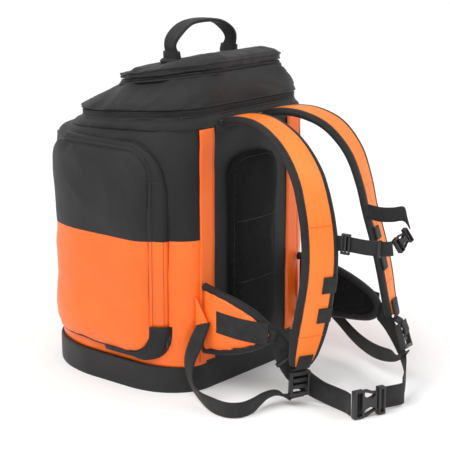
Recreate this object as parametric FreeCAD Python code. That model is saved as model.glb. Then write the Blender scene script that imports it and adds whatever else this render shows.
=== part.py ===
import FreeCAD, Part
import math
import os

# Ski boot backpack: a stiff tub base, a fabric body with a side door to each boot
# compartment, a zipped lid with a second zipped cap on it, and a full harness.
# Millimetres. +Z up, +Y towards the wearer's back, +X the wearer's right.
# The origin is on the floor, at the middle of the base.

V = FreeCAD.Vector

# ---------------------------------------------------------------- driving dimensions
BASE_HEIGHT = 44.0          # black tub
BASE_FLOOR = 5.0
BOARD_THICK = 3.0           # stiffener lying on the tub's floor
WALL = 4.0                  # padded fabric walls
WALL_TOP = 396.0            # the walls are upright to here
DOOR_SILL = 70.0            # the door opening starts here
DOOR_END = 118.0            # the door opening runs from -DOOR_END to +DOOR_END in y
COLOUR_LINE = 258.0         # black above, orange below

# An outline seen from above: half the flat of the back, half the width, y of the back,
# y where the rear corner ends, y where the front corner starts, half the flat of the
# front, y of the front.  Each corner is a quarter of an ellipse.
BASE_FOOT = (112.0, 194.0, 172.0, 70.0, -20.0, 80.0, -170.0)
BASE_RIM = (126.0, 192.0, 170.0, 70.0, -20.0, 80.0, -172.0)
BODY = (126.0, 184.0, 170.0, 80.0, -20.0, 78.0, -172.0)
YOKE = (116.0, 172.0, 170.0, 100.0, -10.0, 60.0, -140.0)
LID_RING = (100.0, 165.0, 168.0, 90.0, 0.0, 50.0, -125.0)
CAP_RING = (70.0, 118.0, 166.0, 80.0, 26.0, 42.0, -61.0)
CAP_CROWN = (58.0, 100.0, 150.0, 76.0, 26.0, 34.0, -38.0)

# Height of each slanting ring at the back and at the front.
YOKE_Z = (440.0, 420.0)
ZIP_LOW_Z = (466.0, 440.0)
ZIP_HIGH_Z = (470.0, 444.0)
LID_LOW_Z = (471.0, 445.0)
LID_HIGH_Z = (523.0, 487.0)
CAP_ZIP_Z = (527.0, 491.0)
CAP_LOW_Z = (528.0, 492.0)
CAP_EDGE_Z = (534.0, 498.0)
CAP_TOP_Z = (544.0, 511.0)
LID_WALL = 3.0

STRAP_WIDTH = 65.0
STRAP_THICK = 13.0
WEBBING = 25.0              # adjuster and sternum webbing
BELT = 36.0                 # hip belt webbing
WEBBING_THICK = 2.0
WING_THICK = 13.0
SEWN_GAP = 2.2              # webbing laid over the rounded end of a strap

PARTS = "parts"
os.makedirs(PARTS, exist_ok=True)
written = []


def save(name, shape):
    """Write one node, after making sure that it is sound."""
    if not shape.isValid() or shape.Volume <= 0:
        raise ValueError("bad shape: " + name)
    shape.exportStep(os.path.join(PARTS, name + ".step"))
    written.append(name)


def mirrored(shape):
    """The same piece on the other side of the bag."""
    return shape.mirror(V(0, 0, 0), V(1, 0, 0))


def save_pair(name, shape):
    save(name + "_right", shape)
    save(name + "_left", mirrored(shape))


def save_both(name, shape):
    """Two alike pieces in one node."""
    save(name, Part.makeCompound([shape, mirrored(shape)]))


def block(x0, x1, y0, y1, z0, z1):
    return Part.makeBox(x1 - x0, y1 - y0, z1 - z0, V(x0, y0, z0))


# ---------------------------------------------------------------- outlines and rings
def inset(plan, t):
    back, half, y_back, y_rear, y_fore, front, y_front = plan
    return (back, half - t, y_back - t, y_rear, y_fore, front, y_front + t)


def ring(plan, z_back, z_front=None, datum=None):
    """The outline as a wire, level or slanting from back to front.

    The two heights are those at the back and the front of the datum outline, so an
    inner ring lies in the same plane as the outer ring round it."""
    back, half, y_back, y_rear, y_fore, front, y_front = plan
    datum = datum or plan
    if z_front is None:
        z_front = z_back
    slope = (z_back - z_front) / (datum[2] - datum[6])

    def at(x, y):
        return V(x, y, z_back - slope * (datum[2] - y))

    def corner(p, q, r):
        curve = Part.BezierCurve()
        curve.setPoles([p, q, r])
        curve.setWeight(2, math.sqrt(0.5))
        return curve.toShape()

    edges = [
        Part.makeLine(at(-back, y_back), at(back, y_back)),
        corner(at(back, y_back), at(half, y_back), at(half, y_rear)),
        Part.makeLine(at(half, y_rear), at(half, y_fore)),
        corner(at(half, y_fore), at(half, y_front), at(front, y_front)),
        Part.makeLine(at(front, y_front), at(-front, y_front)),
        corner(at(-front, y_front), at(-half, y_front), at(-half, y_fore)),
        Part.makeLine(at(-half, y_fore), at(-half, y_rear)),
        corner(at(-half, y_rear), at(-half, y_back), at(-back, y_back)),
    ]
    return Part.Wire(edges)


def loft(low, high):
    return Part.makeLoft([low, high], True, True)


def sleeve(plan_low, z_low, plan_high, z_high, wall):
    """A wall of the given thickness between two rings."""
    outer = loft(ring(plan_low, *z_low), ring(plan_high, *z_high))
    z_low, z_high = [z if len(z) > 1 else z * 2 for z in (z_low, z_high)]
    inner = loft(ring(inset(plan_low, wall), *z_low, plan_low),
                 ring(inset(plan_high, wall), *z_high, plan_high))
    return outer.cut(inner)


def band(plan, outset_in, outset_out, z0, z1):
    """An upright band round the outline, between two distances outside it."""
    outer = loft(ring(inset(plan, -outset_out), z0), ring(inset(plan, -outset_out), z1))
    inner = loft(ring(inset(plan, -outset_in), z0), ring(inset(plan, -outset_in), z1))
    return outer.cut(inner)


def rounded_plate(u0, u1, w0, w1, radius, place, depth):
    """A plate with rounded corners.  place(u, w) gives the point, depth its thickness."""
    r = radius
    k = r * (1 - math.sqrt(0.5))
    corners = [
        ((u0 + r, w0), (u1 - r, w0), (u1 - k, w0 + k), (u1, w0 + r)),
        ((u1, w0 + r), (u1, w1 - r), (u1 - k, w1 - k), (u1 - r, w1)),
        ((u1 - r, w1), (u0 + r, w1), (u0 + k, w1 - k), (u0, w1 - r)),
        ((u0, w1 - r), (u0, w0 + r), (u0 + k, w0 + k), (u0 + r, w0)),
    ]
    edges = []
    for start, straight_end, middle, end in corners:
        edges.append(Part.makeLine(place(*start), place(*straight_end)))
        edges.append(Part.Arc(place(*straight_end), place(*middle), place(*end)).toShape())
    return Part.Face(Part.Wire(edges)).extrude(depth)


# ---------------------------------------------------------------- ribbons
def ribbon(stations, thick):
    """A strap through a list of stations (x, y, z, wx, wy, wz, width).

    w is the direction across the strap.  The strap is flat between stations."""
    points = [V(*s[:3]) for s in stations]
    loops = []
    for i, station in enumerate(stations):
        ahead = points[min(i + 1, len(points) - 1)] - points[max(i - 1, 0)]
        across = V(*station[3:6])
        across.normalize()
        normal = ahead.cross(across)
        normal.normalize()
        w = across * (station[6] / 2)
        n = normal * (thick / 2)
        c = points[i]
        loops.append([c - w - n, c + w - n, c + w + n, c - w + n])
    faces = [Part.Face(Part.makePolygon(loops[0] + loops[0][:1])),
             Part.Face(Part.makePolygon(loops[-1] + loops[-1][:1]))]
    for a, b in zip(loops, loops[1:]):
        for j in range(4):
            k = (j + 1) % 4
            faces.append(Part.Face(Part.makePolygon([a[j], a[k], b[k], a[j]])))
            faces.append(Part.Face(Part.makePolygon([a[j], b[k], b[j], a[j]])))
    shell = Part.Shell(faces)
    shell.sewShape()
    solid = Part.Solid(shell)
    if solid.Volume < 0:
        solid.reverse()
    return solid


def frame_at(centre, along, across):
    """A placement whose X runs along, Y across, and Z completes the set."""
    x = V(*along)
    x.normalize()
    y = V(*across)
    y = y - x * x.dot(y)
    y.normalize()
    z = x.cross(y)
    c = V(*centre)
    matrix = FreeCAD.Matrix(x.x, y.x, z.x, c.x,
                            x.y, y.y, z.y, c.y,
                            x.z, y.z, z.z, c.z,
                            0, 0, 0, 1)
    return FreeCAD.Placement(matrix)


def placed(shape, placement):
    moved = shape.copy()
    moved.Placement = placement
    return moved


# ---------------------------------------------------------------- base
def base():
    hollow = loft(ring(inset(BODY, WALL), BASE_FLOOR),
                  ring(inset(BODY, WALL), BASE_HEIGHT + 1))
    tub = loft(ring(BASE_FOOT, 0), ring(BASE_RIM, BASE_HEIGHT)).cut(hollow)
    save("base_tub", tub)
    board_plan = inset(BODY, WALL + 1)
    board_top = BASE_FLOOR + BOARD_THICK
    save("base_board", loft(ring(board_plan, BASE_FLOOR), ring(board_plan, board_top)))


# ---------------------------------------------------------------- body walls
REACH = 260.0               # larger than the bag in any direction
BACK_HALF = BODY[0]
BACK_Y = BODY[2]
FRONT_Y = BODY[6]
SIDE_X = BODY[1]


def body_walls():
    wall = band(BODY, -WALL, 0, BASE_HEIGHT, WALL_TOP)
    save("back_panel", block(-BACK_HALF, BACK_HALF, BACK_Y - WALL, BACK_Y,
                             BASE_HEIGHT, WALL_TOP))
    rear = block(BACK_HALF, REACH, DOOR_END, REACH, BASE_HEIGHT, WALL_TOP)
    save_both("rear_corner_panels", wall.common(rear))
    fore = block(-REACH, REACH, -REACH, -DOOR_END, BASE_HEIGHT, WALL_TOP)
    save("front_panel", wall.common(fore))
    sill = block(0, REACH, -DOOR_END, DOOR_END, BASE_HEIGHT, DOOR_SILL)
    save_both("door_sills", wall.common(sill))
    save("upper_panel", sleeve(BODY, (WALL_TOP,), YOKE, YOKE_Z, WALL))
    save("yoke_band", sleeve(YOKE, YOKE_Z, LID_RING, ZIP_LOW_Z, WALL))
    save("lid_zip", sleeve(LID_RING, ZIP_LOW_Z, LID_RING, ZIP_HIGH_Z, WALL))


# ---------------------------------------------------------------- inside
DIVIDER_X = 60.0
DIVIDER_THICK = 3.0
CEILING_THICK = 3.0
CEILING_FRONT = -158.0      # the walls above lean in, so the ceilings stop short
CEILING_BACK = 163.0
CEILING_INSET = 9.0


def inside():
    floor = BASE_FLOOR + BOARD_THICK
    depth = (FRONT_Y + WALL, BACK_Y - WALL)
    save_both("boot_dividers", block(DIVIDER_X, DIVIDER_X + DIVIDER_THICK, *depth,
                                     floor, WALL_TOP))
    plan = inset(BODY, CEILING_INSET)
    sheet = loft(ring(plan, WALL_TOP), ring(plan, WALL_TOP + CEILING_THICK))
    side = block(DIVIDER_X, REACH, CEILING_FRONT, CEILING_BACK, WALL_TOP,
                 WALL_TOP + CEILING_THICK)
    save_both("boot_ceilings", sheet.common(side))


# ---------------------------------------------------------------- front pockets
POCKET_HALF = 104.0
POCKET_LOW = (68.0, 252.0)
POCKET_HIGH = (264.0, 386.0)
POCKET_PROUD = 16.0
ZIP_PROUD = 12.0
CONTACT = 0.3               # sewn pieces stand this far off the wall behind


def front_pockets():
    y = FRONT_Y - CONTACT

    def place(x, z):
        return V(x, y, z)

    for name, (low, high) in (("front_pocket_lower", POCKET_LOW),
                              ("front_pocket_upper", POCKET_HIGH)):
        plate = rounded_plate(-POCKET_HALF, POCKET_HALF, low, high, 22, place,
                              V(0, -POCKET_PROUD, 0))
        save(name, plate)
    zips = []
    for low, high in ((POCKET_LOW[1] + 1, POCKET_HIGH[0] - 1),
                      (POCKET_HIGH[1] + 1, WALL_TOP - 1)):
        zips.append(block(-POCKET_HALF, POCKET_HALF, y - ZIP_PROUD, y, low, high))
    save("front_zips", Part.makeCompound(zips))


# ---------------------------------------------------------------- back panel trim
def back_trim():
    y = BACK_Y + CONTACT

    def place(x, z):
        return V(x, y, z)

    pad = rounded_plate(-56, 56, 66, 380, 26, place, V(0, 12, 0))
    save("back_pad", pad)
    save_both("back_strips", block(97, 132, y, y + 2, 52, 438))
    # The band that both shoulder straps are sewn under.
    save("strap_anchor", block(-94, 94, y, y + 3, 430, 442))
    # Triangular tab in the corner seam that holds the lower adjuster webbing.
    corners = [V(141, 171, 166), V(141, 171, 94), V(141, 196, 122), V(141, 171, 166)]
    tab = Part.Face(Part.makePolygon(corners)).extrude(V(3, 0, 0))
    save_both("adjuster_tabs", tab)


# ---------------------------------------------------------------- side doors
DOOR_GAP = 2.0              # door's inside to the wall: the zip tape lies in it
DOOR_THICK = 13.0
DOOR_FRONT = -128.0
DOOR_REAR = 128.0
DOOR_LOW = 60.0
DOOR_HIGH = 408.0
DOOR_ROUND = 46.0
TAPE_THICK = 1.4


def side_profile(front, rear, low, high, radius):
    """A slab across the bag whose outline is seen from the side."""
    return rounded_plate(front, rear, low, high, radius, lambda y, z: V(60, y, z),
                         V(200, 0, 0))


def doors():
    outline = side_profile(DOOR_FRONT, DOOR_REAR, DOOR_LOW, DOOR_HIGH, DOOR_ROUND)
    # The front edge is square, so that the hinge line is straight.
    outline = outline.fuse(block(60, 260, DOOR_FRONT, DOOR_FRONT + DOOR_ROUND,
                                 DOOR_LOW, DOOR_HIGH - DOOR_ROUND))
    skin = band(BODY, DOOR_GAP, DOOR_GAP + DOOR_THICK, DOOR_LOW, DOOR_HIGH)
    door = skin.common(outline)
    lower = block(60, 260, -REACH, REACH, DOOR_LOW - 1, COLOUR_LINE)
    upper = block(60, 260, -REACH, REACH, COLOUR_LINE, DOOR_HIGH + 1)
    save_pair("door_lower", door.common(lower))
    save_pair("door_upper", door.common(upper))

    tape_out = side_profile(DOOR_FRONT, DOOR_REAR + 10, DOOR_LOW + 2, WALL_TOP - 1, 34)
    tape_in = side_profile(DOOR_FRONT - 60, DOOR_REAR - 18, DOOR_SILL - 1, WALL_TOP - 5, 20)
    tape = band(BODY, 0.2, 0.2 + TAPE_THICK, DOOR_LOW, WALL_TOP).common(
        tape_out.cut(tape_in))
    save_both("door_zips", tape)


# ---------------------------------------------------------------- lid and cap
def lid_and_cap():
    save("lid_gusset", sleeve(LID_RING, LID_LOW_Z, CAP_RING, LID_HIGH_Z, LID_WALL))
    save("cap_zip", sleeve(CAP_RING, LID_HIGH_Z, CAP_RING, CAP_ZIP_Z, LID_WALL))
    rim = loft(ring(CAP_RING, *CAP_LOW_Z), ring(CAP_RING, *CAP_EDGE_Z))
    crown = loft(ring(CAP_RING, *CAP_EDGE_Z), ring(CAP_CROWN, *CAP_TOP_Z))
    save("cap_panel", rim.fuse(crown).removeSplitter())


HANDLE_Y = 62.0
HANDLE_HALF = 76.0          # half the distance between the feet
HANDLE_FOOT = 546.0
HANDLE_RISE = 50.0


def handle():
    feet = []
    for side in (-1, 1):
        x = side * HANDLE_HALF
        stations = [(x, HANDLE_Y, 526, 0, 1, 0, 38), (x, HANDLE_Y, 534, 0, 1, 0, 38),
                    (x, HANDLE_Y, 541, 0, 1, 0, 12)]
        feet.append(ribbon(stations, 6))
    cap_top = loft(ring(CAP_RING, *CAP_EDGE_Z), ring(CAP_CROWN, *CAP_TOP_Z))
    save("handle_anchors", Part.makeCompound([foot.cut(cap_top) for foot in feet]))
    steps = 12
    stations = []
    for i in range(steps + 1):
        angle = math.pi * i / steps
        x = HANDLE_HALF * math.copysign(abs(math.cos(angle)) ** 0.7, math.cos(angle))
        z = HANDLE_FOOT + HANDLE_RISE * math.sin(angle) ** 0.8
        width = 8 if i in (0, steps) else 24
        stations.append((x, HANDLE_Y, z, 0, 1, 0, width))
    save("carry_handle", ribbon(stations, 6))


# ---------------------------------------------------------------- shoulder straps
# Stations down the middle of each strap: x, y, z and the turn of the strap about the
# vertical, in degrees outwards.
STRAP_RIGHT = [
    (52, 176, 439, 0), (54, 206, 450, 0), (58, 250, 446, 3), (66, 300, 422, 9),
    (75, 340, 382, 15), (82, 363, 334, 20), (87, 376, 284, 24), (90, 379, 232, 26),
    (90, 371, 180, 26), (88, 360, 132, 25), (85, 348, 92, 24), (84, 341, 72, 24),
]
STRAP_LEFT = [
    (-52, 176, 439, 0), (-54, 208, 451, 0), (-59, 248, 450, 2), (-66, 292, 433, 6),
    (-73, 326, 395, 12), (-79, 344, 346, 16), (-83, 355, 298, 18), (-86, 371, 246, 18),
    (-87, 384, 198, 18), (-87, 393, 156, 18), (-87, 400, 126, 16),
]
TAPER = {0: 58.0, -1: 44.0, -2: 58.0}     # widths at the ends of a strap


def strap_stations(route):
    stations = []
    for i, (x, y, z, turn) in enumerate(route):
        angle = math.radians(turn)
        side = math.copysign(1, x)
        width = TAPER.get(i, TAPER.get(i - len(route), STRAP_WIDTH))
        stations.append((x, y, z, math.cos(angle), -side * math.sin(angle), 0, width))
    return stations


LOCK_SIZE = (42.0, 34.0, 8.0)             # ladder lock: length, width, thickness
LOCK_BAR = 5.0
LOCK_PLAY = 4.0                           # between the webbing's end and the lock's edge
END_DROP = 3.5                            # the webbing turns in below the end of the pad


def ladder_lock(top, bottom, turn):
    """A frame with three cross bars, hung from the end of a strap."""
    length, width, thick = LOCK_SIZE
    body = block(0, length, -width / 2, width / 2, -thick / 2, thick / 2)
    slot = (length - 4 * LOCK_BAR) / 3
    for i in range(3):
        start = LOCK_BAR + i * (slot + LOCK_BAR)
        body = body.cut(block(start, start + slot, -width / 2 + 3.5, width / 2 - 3.5,
                              -thick, thick))
    along = V(*bottom) - V(*top)
    side = math.copysign(1, top[0])
    angle = math.radians(turn)
    return placed(body, frame_at(top, along, (math.cos(angle), -side * math.sin(angle), 0)))


# Ladder locks: the top and bottom of each, and its turn about the vertical.
LOCK_RIGHT = ((84, 340, 60), (84, 338, 18), 24)
LOCK_LEFT = ((-87, 418, 114), (-86, 433, 75), 16)


def shoulder_straps():
    for name, route, lock in (("right", STRAP_RIGHT, LOCK_RIGHT),
                              ("left", STRAP_LEFT, LOCK_LEFT)):
        save("strap_pad_" + name, ribbon(strap_stations(route), STRAP_THICK))
        save("ladder_lock_" + name, ladder_lock(*lock))
        # Webbing sewn over the end of the pad, reaching down to the ladder lock.
        side = math.copysign(1, lock[0][0])
        angle = math.radians(lock[2])
        across = (math.cos(angle), -side * math.sin(angle), 0)
        out = V(side * math.sin(angle), math.cos(angle), 0)
        lift = out * (STRAP_THICK / 2 + WEBBING_THICK / 2 + SEWN_GAP)
        upper = V(*route[-2][:3]) * 0.6 + V(*route[-1][:3]) * 0.4 + lift
        lower = V(*route[-1][:3]) + lift - V(0, 0, END_DROP)
        end = V(*lock[0]) + V(0, 0, LOCK_PLAY)
        stations = [(p.x, p.y, p.z) + across + (WEBBING,) for p in (upper, lower, end)]
        save("strap_webbing_" + name, ribbon(stations, WEBBING_THICK))


# Adjuster webbing: from the tab at the lower corner, over the floor, to the lock.
ADJUSTER_RIGHT = [
    (146, 190, 124, 0, 1, 1), (158, 185, 95, 0.2, 1, 0.6), (172, 182, 62, 0.3, 1, 0.2),
    (182, 194, 34, 0.6, 0.8, 0.6), (190, 220, 18, 0.4, 0, 1), (197, 254, 13.5, 0, 0, 1),
    (198, 282, 13.5, 0, 0, 1), (184, 299, 13.5, 0, 0, 1), (158, 302, 13.5, 0, 0, 1),
    (130, 299, 16, 0, 0.3, 1), (108, 304, 19, 0, 0.7, 0.7), (92, 318, 13, 0.6, 1, 0),
    (85, 336, 15, 1, -0.4, 0),
]
ADJUSTER_LEFT = [
    (-146, 190, 124, 0, 0.6, 1), (-158, 206, 100, 0, 0.3, 1), (-164, 236, 72, 0, 0, 1),
    (-158, 274, 48, 0, 0, 1), (-144, 312, 38, 0, 0, 1), (-126, 350, 38, 0, 0, 1),
    (-108, 388, 45, 0.3, 0, 1), (-94, 415, 54, 1, 0, 0.4), (-88, 429, 66, 1, 0, 0),
]


def adjusters():
    for name, route in (("right", ADJUSTER_RIGHT), ("left", ADJUSTER_LEFT)):
        stations = [point + (WEBBING,) for point in route]
        save("adjuster_webbing_" + name, ribbon(stations, WEBBING_THICK))


# ---------------------------------------------------------------- side-release buckles
def buckle(name, centre, along, across, width, length, thick):
    """A closed side-release buckle.  centre is on the parting line, along points from
    the female half to the male half.  The tongue has 0.6 mm all round."""
    gap = 0.6
    wall = 2.6
    tongue = length * 0.62
    female = block(-length, 0, -width / 2, width / 2, -thick / 2, thick / 2)
    pocket = block(-tongue - gap, 1, -width / 2 + wall, width / 2 - wall,
                   -thick / 2 + wall, thick / 2 - wall)
    slot = block(-length + wall, -tongue - gap - 2, -width / 2 + wall, width / 2 - wall,
                 -thick, thick)
    female = female.cut(pocket).cut(slot)
    tongue_box = block(-tongue, gap, -width / 2 + wall + gap, width / 2 - wall - gap,
                       -thick / 2 + wall + gap, thick / 2 - wall - gap)
    shoulder = block(gap, length * 0.55, -width / 2, width / 2, -thick / 2, thick / 2)
    tail_slot = block(length * 0.3, length * 0.45, -width / 2 + wall, width / 2 - wall,
                      -thick, thick)
    male = tongue_box.fuse(shoulder.cut(tail_slot))
    place = frame_at(centre, along, across)
    save(name + "_female", placed(female, place))
    save(name + "_male", placed(male.removeSplitter(), place))


HIP_BUCKLE_AT = (42.0, 453.0, 23.5)
HIP_BUCKLE_AXIS = (-0.93, 0.367, 0.0)
STERNUM_AT = (-2.0, 474.0, 284.0)
STERNUM_AXIS = (-0.86, 0.10, 0.50)


def buckles():
    buckle("hip_buckle", HIP_BUCKLE_AT, HIP_BUCKLE_AXIS, (0, 0, 1), 46, 38, 11)
    buckle("sternum_buckle", STERNUM_AT, STERNUM_AXIS, (0, -0.2, 1), 25, 22, 9)


# ---------------------------------------------------------------- hip belt
# Stations of each padded wing: x, y, low z, high z.
WING_RIGHT = [
    (127, 177, 68, 184), (131, 212, 74, 178), (129, 246, 82, 170), (122, 274, 92, 156),
    (114, 294, 104, 138), (110, 302, 112, 128),
]
WING_LEFT = [
    (-127, 177, 68, 184), (-134, 215, 76, 178), (-136, 255, 82, 170), (-134, 295, 86, 158),
    (-131, 327, 92, 144), (-129, 342, 102, 132),
]
BELT_RIGHT = [
    (108, 305, 118, 0, 0, 1), (97, 316, 88, 0.2, 0, 1), (78, 325, 54, 0.2, 0, 1),
    (60, 342, 32, 0, 0, 1), (55, 366, 22, 0, 0, 1), (57, 390, 19.5, 0, 0, 1),
    (63, 415, 19.5, 0, 0, 1), (72, 430.5, 20.5, 0, 0, 1),
]
BELT_LEFT = [
    (-129, 345, 114, 0, 0, 1), (-127, 368, 96, 0, 0.1, 1), (-116, 398, 66, 0, 0, 1),
    (-92, 427, 42, 0, 0, 1), (-60, 447, 28, 0, 0, 1), (-38, 457, 23, 0, 0, 1),
    (-20, 468.5, 22.5, 0, 0, 1), (16, 454.5, 22.5, 0, 0, 1),
]


def hip_belt():
    for name, wing in (("right", WING_RIGHT), ("left", WING_LEFT)):
        stations = []
        for x, y, low, high in wing:
            stations.append((x, y, (low + high) / 2, 0, 0, 1, high - low))
        save("hip_wing_" + name, ribbon(stations, WING_THICK))
    for name, route in (("right", BELT_RIGHT), ("left", BELT_LEFT)):
        stations = [point + (BELT,) for point in route]
        save("hip_webbing_" + name, ribbon(stations, WEBBING_THICK))


# ---------------------------------------------------------------- sternum strap
STERNUM_RIGHT = [
    (55, 395, 275, 0, 0, 1), (51, 412, 274, 0, 0, 1), (44, 436, 272, 0, 0, 1),
    (32, 458, 271, 0, 0.1, 1), (21.5, 468.5, 271.5, 0.2, 0, 1),
]
STERNUM_LEFT = [
    (-51, 371, 303, 0, 0, 1), (-46, 400, 303, 0, 0, 1), (-39, 428, 308, 0, 0, 1),
    (-33, 452, 314, 0.1, 0, 1), (-25, 466, 303, 0.5, 0, 1),
]


def sternum_strap():
    for name, route in (("right", STERNUM_RIGHT), ("left", STERNUM_LEFT)):
        stations = [point + (WEBBING - 1,) for point in route]
        save("sternum_webbing_" + name, ribbon(stations, WEBBING_THICK))


# ---------------------------------------------------------------- zip sliders and pulls
SLIDER = (14.0, 9.0, 5.0)                 # along the zip, across it, height
GRIP_LENGTH = 24.0


def zip_slider(name, centre, along, out, hang, cord):
    """A slider on its zip and the cord pull that hangs from it.

    out points away from the bag, hang is the way the pull lies, cord the length of
    its cord loop above the moulded grip."""
    length, across, high = SLIDER
    body = block(-length / 2, length / 2, -across / 2, across / 2, 0, high)
    save(name + "_slider", placed(body, frame_at(centre, along, V(*out).cross(V(*along)))))
    n = V(*out)
    n.normalize()
    h = V(*hang)
    h.normalize()
    start = V(*centre) + n * (high + 2.2) + h * 1.0
    line = Part.makeCylinder(1.2, cord, start, h)
    grip = Part.makeCylinder(3.0, GRIP_LENGTH, start + h * (cord - 1), h)
    save(name + "_pull", line.fuse(grip).removeSplitter())


def rear_edge_point(y, outset):
    """A point on the rear corner of the body and the way out from it."""
    back, half, y_back, y_rear = BODY[:4]
    a, b = half - back, y_back - y_rear
    t = math.asin((y - y_rear) / b)
    x = back + a * math.cos(t)
    out = V(math.cos(t) / a, math.sin(t) / b, 0)
    out.normalize()
    return V(x, y, 0) + out * outset, out


DOOR_SLIDER_Z = 92.0


def zips():
    x_axis = (1, 0, 0)
    forward = (0, -1, 0)
    down = (0, 0, -1)
    front = FRONT_Y - CONTACT - ZIP_PROUD - CONTACT
    low_z = POCKET_LOW[1] + 6
    high_z = POCKET_HIGH[1] + 5
    zip_slider("pocket_zip_a", (92, front, low_z), x_axis, forward, down, 34)
    zip_slider("pocket_zip_b", (72, front, low_z), x_axis, forward, down, 40)
    zip_slider("upper_zip", (90, front, high_z), x_axis, forward, down, 22)
    lid_front = LID_RING[6] - 2
    zip_slider("lid_zip", (40, lid_front, (ZIP_LOW_Z[1] + ZIP_HIGH_Z[1]) / 2), x_axis,
               (0, -1, 0.35), (0, -0.62, -0.78), 16)
    cap_front = CAP_RING[6] - 3.4
    zip_slider("cap_zip", (36, cap_front, (LID_HIGH_Z[1] + CAP_ZIP_Z[1]) / 2), x_axis,
               (0, -1, 0.8), (0, -0.80, -0.60), 12)
    point, out = rear_edge_point(DOOR_REAR + 8.5, 0.2 + TAPE_THICK + 0.2)
    for name, side in (("right", 1), ("left", -1)):
        centre = (side * point.x, point.y, DOOR_SLIDER_Z)
        zip_slider("door_zip_" + name, centre, (0, 0, 1), (side * out.x, out.y, 0), down, 12)


base()
body_walls()
inside()
front_pockets()
back_trim()
doors()
lid_and_cap()
handle()
shoulder_straps()
adjusters()
hip_belt()
buckles()
sternum_strap()
zips()
print(len(written), "nodes written")
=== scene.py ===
import math

import bmesh
import bpy
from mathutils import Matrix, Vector, noise
from mathutils.bvhtree import BVHTree


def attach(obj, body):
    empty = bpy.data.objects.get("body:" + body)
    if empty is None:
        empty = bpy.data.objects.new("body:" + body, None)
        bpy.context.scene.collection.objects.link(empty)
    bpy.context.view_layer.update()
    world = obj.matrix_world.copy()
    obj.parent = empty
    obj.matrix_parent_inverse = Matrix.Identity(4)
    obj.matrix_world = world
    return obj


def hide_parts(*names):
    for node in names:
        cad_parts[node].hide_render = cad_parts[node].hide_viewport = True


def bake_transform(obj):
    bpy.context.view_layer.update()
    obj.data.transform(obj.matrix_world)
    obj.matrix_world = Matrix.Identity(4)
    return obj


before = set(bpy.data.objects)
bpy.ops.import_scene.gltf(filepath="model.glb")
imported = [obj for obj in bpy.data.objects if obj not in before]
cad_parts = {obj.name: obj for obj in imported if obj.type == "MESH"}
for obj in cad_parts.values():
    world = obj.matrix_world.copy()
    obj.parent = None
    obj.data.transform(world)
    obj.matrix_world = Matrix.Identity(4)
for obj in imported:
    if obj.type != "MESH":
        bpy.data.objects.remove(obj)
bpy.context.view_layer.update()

MM = 0.001
SIDES = (("right", 1), ("left", -1))


# ================================================================ materials
class Nodes:
    """Builds one node material, with object-space texture coordinates."""

    RAMP = (0.3, 0.7)
    PITCH_TO_SCALE = 3.14

    def __init__(self, name, rough, specular, sheen=0.0, coat=0.0, coat_rough=0.3, metallic=0.0):
        self.material = bpy.data.materials.new(name)
        self.material.use_nodes = True
        self.tree = self.material.node_tree
        self.shader = self.tree.nodes["Principled BSDF"]
        sockets = {"Roughness": rough, "Specular IOR Level": specular, "Sheen Weight": sheen,
                   "Sheen Roughness": 0.5, "Coat Weight": coat, "Coat Roughness": coat_rough,
                   "Metallic": metallic}
        for key, value in sockets.items():
            self.shader.inputs[key].default_value = value
        self.place = self.add("ShaderNodeTexCoord").outputs["Object"]
        self.normal = None

    def add(self, kind, sockets=None, **attributes):
        """A new node, with values for its sockets and attributes."""
        node = self.tree.nodes.new(kind)
        for key, value in attributes.items():
            setattr(node, key, value)
        for key, value in (sockets or {}).items():
            node.inputs[key].default_value = value
        return node

    def link(self, a, b):
        self.tree.links.new(a, b)

    def texture(self, kind, output, sockets, **attributes):
        """A texture node laid out in object space."""
        node = self.add(kind, sockets, **attributes)
        self.link(self.place, node.inputs["Vector"])
        return node.outputs[output]

    def noise(self, scale, detail=3.0):
        return self.texture("ShaderNodeTexNoise", "Fac", {"Scale": scale, "Detail": detail})

    def wave(self, direction, scale):
        return self.texture("ShaderNodeTexWave", "Fac", {"Scale": scale}, bands_direction=direction)

    def maths(self, operation, a, b):
        node = self.add("ShaderNodeMath", operation=operation)
        self.link(a, node.inputs[0])
        self.link(b, node.inputs[1])
        return node.outputs[0]

    def colour(self, dark, light, factor):
        ramp = self.add("ShaderNodeValToRGB")
        for element, position, shade in zip(ramp.color_ramp.elements, self.RAMP, (dark, light)):
            element.position = position
            element.color = (*shade, 1)
        self.link(factor, ramp.inputs["Fac"])
        self.link(ramp.outputs["Color"], self.shader.inputs["Base Color"])

    def bump(self, height, distance, strength):
        """A bump on top of the ones added before."""
        node = self.add("ShaderNodeBump", {"Strength": strength, "Distance": distance})
        self.link(height, node.inputs["Height"])
        if self.normal is not None:
            self.link(self.normal, node.inputs["Normal"])
        self.normal = node.outputs["Normal"]
        self.link(self.normal, self.shader.inputs["Normal"])

    def weave(self, pitch):
        """Threads crossing in the two directions that lie in most of the surface."""
        scale = 1 / (pitch * self.PITCH_TO_SCALE)
        warp = self.maths("ADD", self.wave("X", scale), self.wave("Y", scale))
        return self.maths("MULTIPLY", warp, self.wave("Z", scale))


def mottled(name, shades, mottle, weave=None, bumps=(), **surface):
    """A material in two shades, mottled at a scale.  weave is (pitch, distance, strength)
    and each bump (scale, detail, distance, strength); surface goes to Nodes."""
    m = Nodes(name, **surface)
    m.colour(*shades, m.noise(mottle))
    if weave:
        pitch, distance, strength = weave
        m.bump(m.weave(pitch), distance, strength)
    for scale, detail, distance, strength in bumps:
        m.bump(m.noise(scale, detail), distance, strength)
    return m.material


def mesh_fabric():
    """Spacer mesh: small open cells."""
    m = Nodes("mesh_fabric", rough=0.9, specular=0.12, sheen=0.05)
    cells = m.texture("ShaderNodeTexVoronoi", "Distance", {"Scale": 380})
    m.colour((0.003, 0.003, 0.0032), (0.009, 0.009, 0.0095), cells)
    m.bump(cells, distance=0.0006, strength=0.6)
    return m.material


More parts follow.
